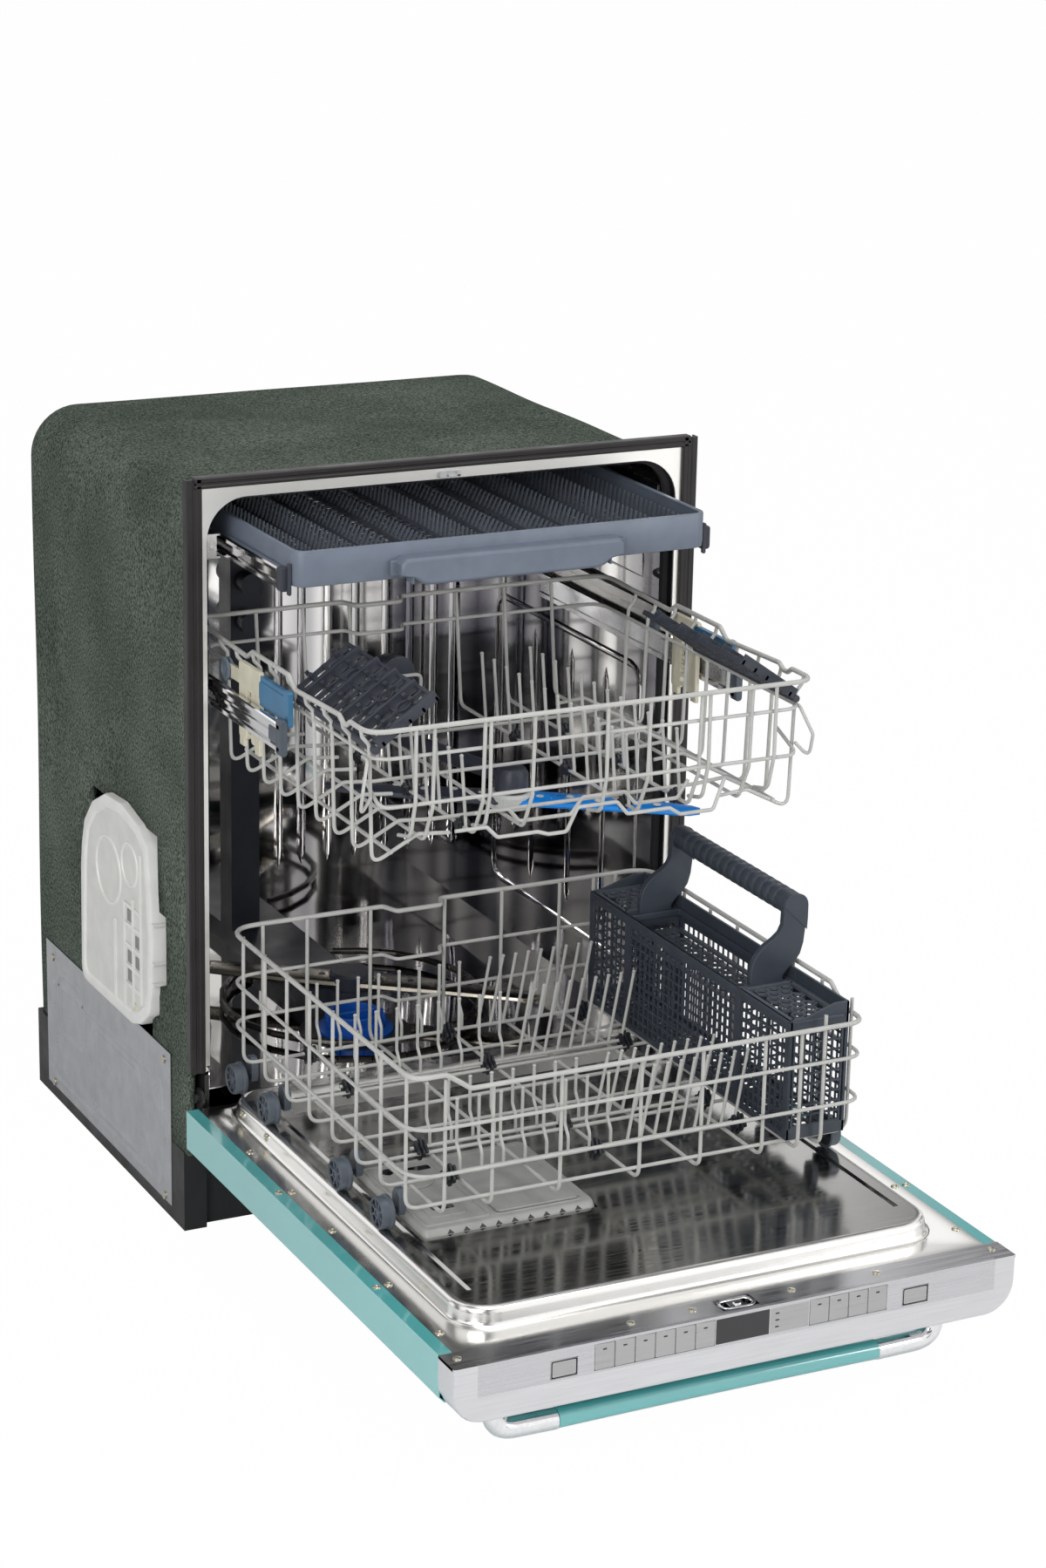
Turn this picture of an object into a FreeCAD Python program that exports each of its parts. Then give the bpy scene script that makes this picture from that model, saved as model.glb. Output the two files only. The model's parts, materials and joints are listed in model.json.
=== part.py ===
"""A built-in dishwasher with its door lowered and its racks drawn out.

Lengths are millimetres, +Z is up and +X is to the right of someone facing the door. Depths are
written from the front plane of the cabinet frame, positive towards the back, and every piece is
then set back so that the origin lies on the floor under the middle of the cabinet.
"""
import math
import os
import re

import FreeCAD
import Part
import Sketcher

SIZES = {
    "cabinet_depth": 500, "cabinet_half": 296, "panel_sheet": 1,
    "base_front": 19, "toe_front": 30, "base_height": 92, "base_wall": 4, "base_gap": 8, "post_width": 26,
    "foot_radius": 20, "foot_stem": 6, "foot_gap": 0.2, "foot_inset": 51, "foot_front": 70,
    "foot_rear": 440, "foot_x": "=cabinet_half - foot_inset",
    "panel_front": 55, "panel_rear": 455, "panel_low": 6, "panel_high": 193, "panel_screw": 4.5,
    "blanket_front": 8, "blanket_top": 821, "blanket_round": 55,
    "side_felt": 22, "roof_felt": 5, "rear_felt": 13, "felt_gap": 0.2, "tub_sheet": 1, "tub_round": 45,
    "tub_half": "=cabinet_half - side_felt - tub_sheet", "tub_top": "=blanket_top - roof_felt - tub_sheet",
    "tub_depth": "=cabinet_depth - rear_felt - tub_sheet",
    "tub_floor": 140, "ledge_rise": 30, "ledge_width": 36, "flange_front": 1,
    "ledge_height": "=tub_floor + ledge_rise",
    "trim_front": -3.5, "trim_width": 15, "trim_low": 190, "trim_corner": 9, "trim_top_rise": 17,
    "trim_deep": 16, "trim_step": 8,
    "trim_inner": "=cabinet_half - trim_width", "trim_top_half": "=cabinet_half - trim_corner",
    "trim_top": "=blanket_top + trim_top_rise", "trim_top_low": "=trim_top - trim_deep",
    "trim_side_top": "=trim_top - trim_step",
    "tank_low": 190, "tank_high": 441, "tank_proud": 5, "tank_gap": 0.5,
    "conduit_x": -40, "conduit_half": 18, "conduit_deep": 18, "conduit_gap": 8,
    "conduit_top": "=tray_low - conduit_gap",
    "port_rise": 78, "port_pitch": 47, "port_radius": 13, "port_reach": 40,
    "port_high": "=upper_low + port_rise", "port_low": "=port_high - port_pitch",
    "arm_y": 243, "boss_radius": 30, "boss_rise": 23, "boss_top": "=tub_floor + boss_rise", "pin_radius": 8,
    "arm_gap": 3, "lower_arm_low": "=boss_top + arm_gap", "lower_arm_thick": 9, "lower_arm_half": 224,
    "lower_arm_width": 46,
    "filter_x": -30, "filter_y": 165, "filter_radius": 36, "filter_rise": 23,
    "filter_top": "=tub_floor + filter_rise", "sump_radius": 64, "sump_deep": 78,
    "sump_low": "=tub_floor - sump_deep",
    "heater_radius": 150, "heater_tube": 4, "heater_rise": 10, "heater_height": "=tub_floor + heater_rise",
    "motor_radius": 34, "motor_drop": 39, "motor_end": 180,
    "hinge_y": 3, "hinge_rise": 7, "hinge_pin": 5, "hinge_eye": 11, "hinge_z": "=door_high + hinge_rise",
    "pan_deep": 17, "pan_margin": 42, "pan_rear": -14, "pan_inset": 35, "pan_round": 40,
    "pan_high": "=ledge_height", "pan_half": "=door_half - pan_margin",
    "pan_front": "=door_front + pan_inset",
    "door_overlap": 8, "door_rear": -10, "door_front": -642, "door_thick": 49, "door_sheet": 1,
    "door_bevel": 6, "skin_flange": 13.5, "stud_radius": 3.2, "stud_proud": 0.4,
    "door_half": "=cabinet_half + door_overlap", "door_high": "=pan_high - pan_deep",
    "door_low": "=door_high - door_thick",
    "dish_left": -215, "dish_right": 200, "dish_front": -100, "dish_deep": 7,
    "dish_high": "=pan_high - dish_deep",
    "console_overlap": 1, "console_deep": 34, "console_drop": 10, "console_lip": 0.5, "console_round": 30,
    "console_wall": 3, "console_half": "=door_half + console_overlap",
    "console_front": "=door_front - console_deep", "console_low": "=door_low - console_drop",
    "console_high": "=door_high + console_lip",
    "strip_margin": 24, "strip_tall": 32.5, "strip_deep": 4, "strip_half": "=console_half - strip_margin",
    "strip_low": "=console_high - strip_tall",
    "key_rise": 3, "key_tall": 26, "key_short": 18, "key_gap": 0.4, "key_proud": 0.2, "key_thick": 2.6,
    "key_low": "=strip_low + key_rise", "key_high": "=key_low + key_tall",
    "key_small_high": "=key_low + key_short",
    "power_left": -206, "power_width": 27.5, "cycle_left": -160.8, "cycle_pitch": 21.4,
    "option_left": 70.6, "option_pitch": 21.7, "start_left": 175.3, "start_width": 28.7,
    "window_left": -31.6, "window_right": 26.4,
    "latch_half": 20, "latch_front": 8, "latch_deep": 22, "latch_rise": 0.4,
    "handle_gap": 35, "handle_tall": 22, "handle_inset": 0.5, "handle_deep": 22.5,
    "handle_bar_half": 176, "handle_half": 255, "handle_leg": 27, "handle_round": 8,
    "handle_front": "=door_front + handle_inset", "handle_rear": "=handle_front + handle_deep",
    "handle_high": "=door_low - handle_gap", "handle_low": "=handle_high - handle_tall",
    "dispenser_left": -225, "dispenser_right": -35, "dispenser_front": -440, "dispenser_rear": -270,
    "dispenser_lip": 6, "dispenser_deep": 48, "dispenser_high": "=pan_high + dispenser_lip",
    "lid_thick": 2.6, "lid_gap": 0.3,
    "rack_rim": 2.75, "rack_wire": 2.25, "tine_wire": 1.9, "rear_step": 20, "riser_room": 16,
    "lower_room": 21, "lower_front": -466, "lower_rear": -4, "lower_tall": 147, "lower_round": 32,
    "lower_front_drop": 18, "lower_ring": 55, "lower_ring_low": 103,
    "lower_half": "=tub_half - lower_room", "lower_low": "=wheel_height + wheel_room",
    "lower_top": "=lower_low + lower_tall", "tine_lift": 9, "tine_tall": 64,
    "tine_foot": "=lower_low + tine_lift", "tine_tip": "=tine_foot + tine_tall",
    "row_1": -45, "row_2": -145, "row_3": -322, "row_4": -392,
    "wheel_radius": 17.7, "wheel_gap": 0.3, "wheel_room": 15, "wheel_out_room": 13, "wheel_thick": 14,
    "axle": 2.8, "axle_1": -26, "axle_2": -115, "axle_3": -300, "axle_4": -402,
    "wheel_height": "=ledge_height + wheel_radius + wheel_gap", "wheel_out": "=tub_half - wheel_out_room",
    "wheel_in": "=wheel_out - wheel_thick",
    "basket_room": 12, "basket_width": 68, "basket_front": -452, "basket_rear": -16.5, "basket_lift": 6.6,
    "basket_wall": 2.4, "basket_split_front": -345, "basket_split_rear": -105, "basket_tall": 140.4,
    "basket_right": "=lower_half - basket_room", "basket_left": "=basket_right - basket_width",
    "basket_low": "=lower_low + basket_lift", "basket_high": "=basket_low + basket_tall",
    "grip_radius": 13, "grip_rise": 68, "grip_inset": 2, "grip_x": "=basket_right - grip_inset",
    "grip_z": "=basket_high + grip_rise", "yoke_half": 4, "yoke_inset": 16, "yoke_width": 38, "yoke_gap": 0.3,
    "upper_room": 10.3, "upper_front": -347, "upper_rear": 108, "upper_top": 658, "upper_step": 27,
    "upper_taper": 10, "upper_deep": 140, "upper_low_taper": 16, "upper_floor_rise": 24,
    "upper_floor_half": 180, "upper_run_rise": 18, "upper_tine_tall": 60,
    "upper_half": "=rail_in - upper_room", "upper_second": "=upper_top - upper_step",
    "upper_second_half": "=upper_half - upper_taper", "upper_low": "=upper_top - upper_deep",
    "upper_low_half": "=upper_half - upper_low_taper", "upper_floor": "=upper_low + upper_floor_rise",
    "upper_run": "=upper_low + upper_run_rise",
    "rail_room": 9, "rail_thick": 7.7, "rail_tall": 40, "rail_drop": 11, "rail_front": -172, "rail_rear": 290,
    "rail_out": "=tub_half - rail_room", "rail_in": "=rail_out - rail_thick",
    "rail_high": "=upper_top - rail_drop", "rail_low": "=rail_high - rail_tall", "slide_gap": 0.3,
    "adjuster_thick": 7.2, "adjuster_in": "=rail_in - adjuster_thick",
    "shelf_inset": 3, "shelf_rise": 6.3, "shelf_front": -335, "shelf_rear": -125,
    "shelf_hinge": "=upper_second_half - shelf_inset", "shelf_height": "=upper_second + shelf_rise",
    "shelf_width": 80, "shelf_tilt": 35, "shelf_thick": 4,
    "upper_hub_x": 10, "upper_hub_y": -140, "tube_rise": 6, "tube_radius": 9, "nozzle_y": 54,
    "tube_height": "=upper_low + tube_rise", "upper_arm_drop": 25, "upper_arm_half": 198,
    "upper_arm_width": 42, "upper_arm_thick": 9, "upper_arm_low": "=tube_height - upper_arm_drop",
    "tray_room": 10, "tray_front": -130, "tray_rear": 300, "tray_low": 750, "tray_tall": 36, "tray_wall": 2.4,
    "tray_round": 30, "pull_half": 127, "pull_deep": 29, "pull_drop": 5, "pull_tall": 30,
    "tray_rail_room": 11, "tray_rail_rise": 8, "tray_rail_tall": 22, "tray_rail_reach": 18,
    "tray_high": "=tray_low + tray_tall", "pull_front": "=tray_front - pull_deep",
    "pull_low": "=tray_low - pull_drop", "pull_high": "=pull_low + pull_tall",
    "tray_rail_out": "=tub_half - tray_rail_room", "tray_half": "=tray_rail_out - tray_room",
    "tray_rail_low": "=tray_low + tray_rail_rise", "tray_rail_high": "=tray_rail_low + tray_rail_tall",
}

DOC = FreeCAD.newDocument("dishwasher")
SHEET = DOC.addObject("Spreadsheet::Sheet", "Sizes")
for row, alias in enumerate(SIZES, start=1):
    SHEET.set(f"A{row}", alias)
    SHEET.setAlias(f"B{row}", alias)
for row, value in enumerate(SIZES.values(), start=1):
    SHEET.set(f"B{row}", str(value))
DOC.recompute()

NODES = []


def dim(alias):
    """A size read back from the sheet."""
    return float(SHEET.get(alias))


def bound(text):
    """An expression on the sheet, from a formula written with the bare names of sizes."""
    return re.sub(r"[a-z]\w*", lambda found: "Sizes." + found.group(0), str(text))


def worth(text):
    """The present value of such a formula, worked out from its sums and products."""
    total = 0.0
    for sign, term in re.findall(r"([+-]?)\s*([^+\-]+)", str(text).replace(" ", "")):
        product = 1.0
        for factor in term.split("*"):
            product *= dim(factor) if factor[0].isalpha() else float(factor)
        total += -product if sign == "-" else product
    return total


def back(depth):
    """A depth from the front plane as a Y formula in the shared frame."""
    return f"-cabinet_depth / 2 + ({depth})"


def keep(item, name):
    """Register a finished piece under the name of its file."""
    item.Label = name
    NODES.append(item)
    return item


def block(name, x, y, z):
    """A box between two formulas on each axis."""
    item = DOC.addObject("Part::Box", name)
    for side, axis, (low, high) in zip(("Length", "Width", "Height"), "xyz", (x, y, z)):
        item.setExpression(side, bound(f"({high}) - ({low})"))
        start = back(low) if axis == "y" else low
        item.setExpression("Placement.Base." + axis, bound(start))
    return item


TURNS = {
    "x": FreeCAD.Rotation(FreeCAD.Vector(0, 1, 0), 90),
    "y": FreeCAD.Rotation(FreeCAD.Vector(1, 0, 0), -90),
    "z": FreeCAD.Rotation(),
}


def rod(name, axis, radius, centre, span):
    """A round bar along one axis; centre gives the other two coordinates in X, Y, Z order."""
    item = DOC.addObject("Part::Cylinder", name)
    item.Placement = FreeCAD.Placement(FreeCAD.Vector(), TURNS[axis])
    low, high = span
    item.setExpression("Radius", bound(radius))
    item.setExpression("Height", bound(f"({high}) - ({low})"))
    others = [a for a in "xyz" if a != axis]
    places = dict(zip(others, centre))
    places[axis] = low
    for name_of_axis, formula in places.items():
        start = back(formula) if name_of_axis == "y" else formula
        item.setExpression("Placement.Base." + name_of_axis, bound(start))
    return item


def fuse(name, *items):
    item = DOC.addObject("Part::MultiFuse", name)
    item.Shapes = list(items)
    item.Refine = True
    return item


def cut(name, base, *tools):
    item = DOC.addObject("Part::Cut", name)
    item.Base = base
    item.Tool = tools[0] if len(tools) == 1 else fuse(name + "_tools", *tools)
    return item


def group(name, *items):
    item = DOC.addObject("Part::Compound", name)
    item.Links = list(items)
    return item


def rounded(name, base, alias, picks):
    """Round the edges of a box for which picks(edge) is true."""
    DOC.recompute()
    radius = dim(alias)
    item = DOC.addObject("Part::Fillet", name)
    item.Base = base
    item.Edges = [(i, radius, radius) for i, edge in enumerate(base.Shape.Edges, start=1) if picks(edge)]
    return item


def along(axis, *tests):
    """Edges parallel to an axis whose middle passes every test."""
    place = "xyz".index(axis)

    def picks(edge):
        run = edge.Vertexes[-1].Point - edge.Vertexes[0].Point
        if abs(run[place]) < 0.99 * edge.Length:
            return False
        middle = edge.valueAt((edge.FirstParameter + edge.LastParameter) / 2)
        return all(test(middle) for test in tests)
    return picks


def profile(name, plane, points, span):
    """A body padded from a polygon, its corners bound to formulas; span is along the normal."""
    body = DOC.addObject("PartDesign::Body", name)
    sketch = body.newObject("Sketcher::SketchObject", name + "_outline")
    support = [o for o in body.Origin.OriginFeatures if o.Role == plane + "_Plane"][0]
    sketch.AttachmentSupport = [(support, "")]
    sketch.MapMode = "FlatFace"
    spots = [FreeCAD.Vector(worth(a), worth(b), 0) for a, b in points]
    count = len(spots)
    for i in range(count):
        sketch.addGeometry(Part.LineSegment(spots[i], spots[(i + 1) % count]), False)
    for i in range(count):
        sketch.addConstraint(Sketcher.Constraint("Coincident", i, 2, (i + 1) % count, 1))
    for i, pair in enumerate(points):
        for kind, letter, formula in zip(("DistanceX", "DistanceY"), "ab", pair):
            index = sketch.addConstraint(Sketcher.Constraint(kind, -1, 1, i, 1, worth(formula)))
            sketch.renameConstraint(index, f"{letter}{i}")
            sketch.setExpression(f"Constraints.{letter}{i}", bound(formula))
    pad = body.newObject("PartDesign::Pad", name + "_pad")
    pad.Profile = sketch
    low, high = span
    pad.setExpression("Length", bound(f"({high}) - ({low})"))
    if plane == "XZ":
        body.setExpression("Placement.Base.y", bound(back(high)))
    else:
        body.setExpression("Placement.Base.y", bound(back("0 * cabinet_depth")))
        body.setExpression("Placement.Base." + ("x" if plane == "YZ" else "z"), bound(low))
    body.Tip = pad
    return body


def spot(x, y, z):
    """A point in the shared frame, with its depth given from the front plane."""
    return FreeCAD.Vector(x, y - dim("cabinet_depth") / 2, z)


def formed(name, shapes, place=FreeCAD.Placement()):
    """A piece whose solids are shaped in code from sizes of the sheet."""
    item = DOC.addObject("Part::Feature", name)
    item.Shape = shapes[0] if len(shapes) == 1 else Part.makeCompound(shapes)
    item.Placement = place
    return item


def bar(start, end, radius):
    """A straight length of wire."""
    run = end - start
    return Part.makeCylinder(radius, run.Length, start, run)


def bent(points, radius, bends, closed=False):
    """A wire as straight lengths with a round elbow at each corner; bends is one radius or a list."""
    solids = []
    spots = list(points)
    corners = range(len(spots)) if closed else range(1, len(spots) - 1)
    trim = {}
    for i in corners:
        bend = bends[i] if isinstance(bends, list) else bends
        before, here, after = spots[i - 1], spots[i], spots[(i + 1) % len(spots)]
        into = (here - before).normalize()
        away = (after - here).normalize()
        turn = into.getAngle(away)
        reach = bend * math.tan(turn / 2)
        trim[i] = reach
        side = (away - into * into.dot(away)).normalize()
        start = here - into * reach
        disc = Part.Face(Part.Wire(Part.makeCircle(radius, start, into)))
        solids.append(disc.revolve(start + side * bend, into.cross(away), math.degrees(turn)))
    runs = len(spots) if closed else len(spots) - 1
    for i in range(runs):
        j = (i + 1) % len(spots)
        run = (spots[j] - spots[i]).normalize()
        first = spots[i] + run * max(trim.get(i, 0.0) - 0.2, 0.0)
        last = spots[j] - run * max(trim.get(j, 0.0) - 0.2, 0.0)
        solids.append(bar(first, last, radius))
    return solids


def tine(points, radius):
    """A single upright prong with a slight bend."""
    runs = [bar(a, b, radius) for a, b in zip(points, points[1:])]
    return runs[0].multiFuse(runs[1:]).Solids[0] if len(runs) > 1 else runs[0]


def arch(half, top, low, radius, y):
    """A face with square feet and round upper corners, standing across the machine."""
    a, b, c = half - radius, top - radius, radius * math.sqrt(0.5)
    p = [spot(-half, y, low), spot(-half, y, b), spot(-a, y, top), spot(a, y, top), spot(half, y, b),
         spot(half, y, low)]
    edges = [
        Part.makeLine(p[0], p[1]),
        Part.Arc(p[1], spot(-a - c, y, b + c), p[2]).toShape(),
        Part.makeLine(p[2], p[3]),
        Part.Arc(p[3], spot(a + c, y, b + c), p[4]).toShape(),
        Part.makeLine(p[4], p[5]),
        Part.makeLine(p[5], p[0]),
    ]
    return Part.Face(Part.Wire(edges))


def arched(half, top, low, radius, front, rear):
    """The same outline drawn out from one depth to another."""
    return arch(half, top, low, radius, front).extrude(FreeCAD.Vector(0, rear - front, 0))


def brick(x, y, z):
    """A plain box from number pairs, with its depth from the front plane."""
    return Part.makeBox(x[1] - x[0], y[1] - y[0], z[1] - z[0], spot(x[0], y[0], z[0]))


def mirrored(side):
    """A maker of X spans written for the right-hand side and turned over for the left."""
    def span(low, high):
        return (f"-({high})", f"-({low})") if side == "l" else (low, high)
    return span


def both(name, maker):
    """The left and the right member of a pair; maker takes a name and a maker of X spans."""
    return [maker(f"{name}_{side}", mirrored(side)) for side in "lr"]


# Base, panels and feet

shell = block("base_block", ("-cabinet_half", "cabinet_half"), ("base_front", "cabinet_depth - base_gap"),
              ("0", "base_height"))
well = block("base_well", ("-cabinet_half + base_wall", "cabinet_half - base_wall"),
             ("toe_front + base_wall", "cabinet_depth - base_gap - base_wall"),
             ("base_wall", "base_height + 1"))
recess = block("toe_recess", ("-cabinet_half + post_width", "cabinet_half - post_width"),
               ("base_front - 1", "toe_front"), ("-1", "base_height + 1"))
carriers = []
holes = []
feet = []
for side, x in (("l", "-foot_x"), ("r", "foot_x")):
    for end, y in (("front", "foot_front"), ("rear", "foot_rear")):
        lug_x = ("-cabinet_half + 2", f"{x} + 18") if side == "l" else (f"{x} - 18", "cabinet_half - 2")
        carriers.append(block(f"lug_{side}_{end}", lug_x, (f"{y} - 12", f"{y} + 12"), ("24", "44")))
        holes.append(rod(f"hole_{side}_{end}", "z", "foot_radius + 0.3", (x, y), ("-1", "20")))
        holes.append(rod(f"bore_{side}_{end}", "z", "foot_stem + foot_gap", (x, y), ("19", "61")))
        pad = rod(f"foot_pad_{side}_{end}", "z", "foot_radius", (x, y), ("0", "5"))
        stem = rod(f"foot_stem_{side}_{end}", "z", "foot_stem", (x, y), ("4", "60"))
        feet.append(fuse(f"foot_{side}_{end}", pad, stem))
pillars = []
for end, y in (("front", "120"), ("rear", "400")):
    pillars += both(f"pillar_{end}", lambda name, span, y=y: block(
        name, span("tub_half - 24", "tub_half - 2"), (y, f"{y} + 40"),
        ("base_wall - 1", "ledge_height - tub_sheet")))
hollow = cut("base_hollow", shell, well, recess)
keep(cut("base_tray_cut", fuse("base_solid", hollow, *carriers, *pillars), *holes), "base_tray")
keep(group("feet_group", *feet), "levelling_feet")

panels = both("panel", lambda name, span: block(
    name, span("cabinet_half", "cabinet_half + panel_sheet"), ("panel_front", "panel_rear"),
    ("panel_low", "panel_high")))
keep(group("panel_group", *panels), "side_panels")
heads = []
for i, (y, z) in enumerate((("75", "180"), ("433", "176"), ("75", "20"), ("433", "20"))):
    heads += both(f"panel_screw_{i}", lambda name, span, y=y, z=z: rod(
        name, "x", "panel_screw", (y, z),
        span("cabinet_half + panel_sheet", "cabinet_half + panel_sheet + 1.6")))
keep(group("panel_screw_group", *heads), "panel_screws")

# Tub with its front flange, sound blanket, trim and seal

half, top, sheet = dim("tub_half"), dim("tub_top"), dim("tub_sheet")
ledge, floor, deep = dim("ledge_height"), dim("tub_floor"), dim("tub_depth")
step, curve = dim("tub_half") - dim("ledge_width"), dim("tub_round")
front = dim("flange_front")


def tub_solid(grow, first, last):
    """The space of the tub, or that space with its sheet around it."""
    upper = arched(half + grow, top + grow, ledge - grow, curve + grow, first, last)
    lower = brick((-step - grow, step + grow), (first, last), (floor - grow, ledge - grow + 1))
    return upper.fuse(lower)


flange = arched(dim("cabinet_half") - 2, dim("trim_top") - 2, dim("trim_low"), 4, front, front + sheet)
tub = tub_solid(sheet, front, deep + sheet).fuse(flange).cut(tub_solid(0, front - 1, deep))
drain = Part.makeCylinder(dim("sump_radius"), 20, spot(dim("filter_x"), dim("filter_y"), floor - 10))
ring, tube, lift = dim("heater_radius"), dim("heater_tube"), dim("heater_height")
turns = [math.radians(120 + 15 * i) for i in range(22)]
marks = [spot(ring * math.cos(t), dim("arm_y") + ring * math.sin(t), lift) for t in turns]
ends = [FreeCAD.Vector(mark.x, mark.y, floor) for mark in (marks[0], marks[-1])]
passages = [Part.makeCylinder(tube, 20, end - FreeCAD.Vector(0, 0, 10)) for end in ends]
keep(formed("tub_shape", [tub.cut([drain] + passages).removeSplitter().Solids[0]]), "tub")

tank_outline = [
    ("154", "panel_high + tank_gap"), ("324", "panel_high + tank_gap"), ("322", "tank_high - 112"),
    ("317", "tank_high - 82"), ("307", "tank_high - 53"), ("278", "tank_high - 24"),
    ("235", "tank_high - 4"), ("181", "tank_high"), ("128", "tank_high - 10"), ("102", "tank_high - 27"),
    ("93", "tank_high - 74"), ("87", "tank_high - 131"), ("91", "tank_low + 60"), ("100", "tank_low + 32"),
    ("127", "tank_low + 12"),
]
tank_span = ("-cabinet_half - tank_proud", "-tub_half - tub_sheet - felt_gap")
tank = keep(profile("tank_body", "YZ", tank_outline, tank_span), "air_break_tank")
DOC.recompute()
blanket = arched(dim("cabinet_half"), dim("blanket_top"), dim("base_height"), dim("blanket_round"),
                 dim("blanket_front"), dim("cabinet_depth"))
around = sheet + dim("felt_gap")
room = arched(half + around, top + around, dim("base_height") - 1, curve + around,
              dim("blanket_front") - 1, deep + around)
blanket = blanket.cut(room).cut(tank.Shape)
for side in (-1, 1):
    reach = sorted((side * half, side * (half + 18)))
    blanket = blanket.cut(brick(reach, (dim("blanket_front") - 1, 40),
                                (dim("base_height") - 1, dim("trim_low"))))
keep(formed("blanket_shape", [blanket.Solids[0]]), "sound_blanket")

strips = []
for side in "lr":
    near = ("-cabinet_half", "-trim_inner") if side == "l" else ("trim_inner", "cabinet_half")
    lip = ("-cabinet_half", "-cabinet_half + 2") if side == "l" else ("cabinet_half - 2", "cabinet_half")
    strips.append(block(f"trim_face_{side}", near, ("trim_front", "flange_front"),
                        ("trim_low", "trim_side_top")))
    strips.append(block(f"trim_lip_{side}", lip, ("trim_front", "blanket_front"),
                        ("trim_low", "trim_side_top")))
strips.append(block("trim_top_face", ("-trim_top_half", "trim_top_half"), ("trim_front", "flange_front"),
                    ("trim_top_low", "trim_top")))
strips.append(block("trim_top_lip", ("-trim_top_half", "trim_top_half"), ("trim_front", "blanket_front"),
                    ("trim_top - 2", "trim_top")))
keep(fuse("trim_frame", *strips), "edge_trim")

seal = arched(half, top, dim("trim_low"), curve, 14, 22)
seal = seal.cut(arched(half - 6, top - 6, dim("trim_low") - 1, curve - 6, 13, 23))
keep(formed("seal_shape", [seal.Solids[0]]), "door_seal")
keep(block("strike_block", ("-13", "13"), ("-3", "flange_front"), ("tub_top + 0.5", "trim_top_low")),
     "door_strike")

# Water circuit inside the tub

riser = block("riser", ("conduit_x - conduit_half", "conduit_x + conduit_half"),
              ("tub_depth - conduit_deep", "tub_depth"), ("tub_floor + 10", "conduit_top"))
run = block("floor_run", ("conduit_x - conduit_half", "20"), ("arm_y", "tub_depth"),
            ("tub_floor", "boss_top"))
boss = rod("boss", "z", "boss_radius", ("0", "arm_y"), ("tub_floor", "boss_top"))
pin = rod("pin", "z", "pin_radius", ("0", "arm_y"), ("boss_top - 1", "lower_arm_low + lower_arm_thick"))
ports = []
for label, height in (("high", "port_high"), ("low", "port_low")):
    ports.append(rod("port_" + label, "y", "port_radius", ("conduit_x", height),
                     ("tub_depth - port_reach", "tub_depth - 4")))
keep(fuse("conduit_solid", riser, run, boss, pin, *ports), "feed_conduit")

bowl = rod("bowl", "z", "sump_radius", ("filter_x", "filter_y"), ("sump_low", "tub_floor"))
bore = rod("bowl_bore", "z", "filter_radius + 0.4", ("filter_x", "filter_y"),
           ("sump_low + 18", "tub_floor + 1"))
keep(cut("sump_cut", bowl, bore), "sump")
cup = rod("cup", "z", "filter_radius", ("filter_x", "filter_y"), ("sump_low + 18.3", "filter_top - 8"))
collar = rod("collar", "z", "filter_radius + 8", ("filter_x", "filter_y"),
             ("tub_floor + 0.3", "tub_floor + 5"))
crown = rod("crown", "z", "filter_radius - 6", ("filter_x", "filter_y"), ("filter_top - 9", "filter_top"))
well = rod("cup_well", "z", "filter_radius - 9", ("filter_x", "filter_y"),
           ("sump_low + 21", "filter_top + 1"))
grip = block("cup_grip", ("filter_x - filter_radius + 8", "filter_x + filter_radius - 8"),
             ("filter_y - 3", "filter_y + 3"), ("tub_floor + 4", "filter_top"))
keep(fuse("filter_solid", cut("cup_cut", fuse("cup_solid", cup, collar, crown), well), grip), "filter_cup")

loop = [bar(first, last, tube) for first, last in zip(marks, marks[1:])]
for end in ends:
    loop.append(Part.makeCylinder(tube, lift - floor + 12, end - FreeCAD.Vector(0, 0, 12)))
keep(formed("heater_shape", [loop[0].multiFuse(loop[1:])]), "heater_element")

motor = rod("motor", "x", "motor_radius", ("filter_y", "sump_low + motor_drop"),
            ("filter_x + sump_radius + 18", "motor_end"))
neck = rod("motor_neck", "x", "20", ("filter_y", "sump_low + motor_drop"),
           ("filter_x + sump_radius - 8", "filter_x + sump_radius + 19"))
bowl_room = rod("bowl_room", "z", "sump_radius", ("filter_x", "filter_y"), ("sump_low - 1", "tub_floor"))
keep(cut("pump_cut", fuse("pump_solid", motor, neck), bowl_room), "circulation_pump")


def sprayer(name, half, width, low, thick, hub, x, y, angle, centre_hole):
    """A flat rotating arm with round ends and a hub, turned about its hub."""
    bars = [
        block(name + "_bar", (f"-{half} + {width} / 2", f"{half} - {width} / 2"),
              (f"-{width} / 2", f"{width} / 2"), (low, f"{low} + {thick}")),
        rod(name + "_tip_l", "z", f"{width} / 2", (f"-{half} + {width} / 2", "0"), (low, f"{low} + {thick}")),
        rod(name + "_tip_r", "z", f"{width} / 2", (f"{half} - {width} / 2", "0"), (low, f"{low} + {thick}")),
        rod(name + "_hub", "z", hub[0], ("0", "0"), hub[1:]),
    ]
    solid = fuse(name + "_solid", *bars)
    if centre_hole:
        bore = rod(name + "_bore", "z", centre_hole[0], ("0", "0"), centre_hole[1:])
        solid = cut(name + "_cut", solid, bore)
    home = FreeCAD.Vector(0, -dim("cabinet_depth") / 2, 0)
    spin = FreeCAD.Rotation(FreeCAD.Vector(0, 0, 1), angle)
    solid.Placement = FreeCAD.Placement(spot(x, y, 0) - spin.multVec(home), spin)
    return solid


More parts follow.
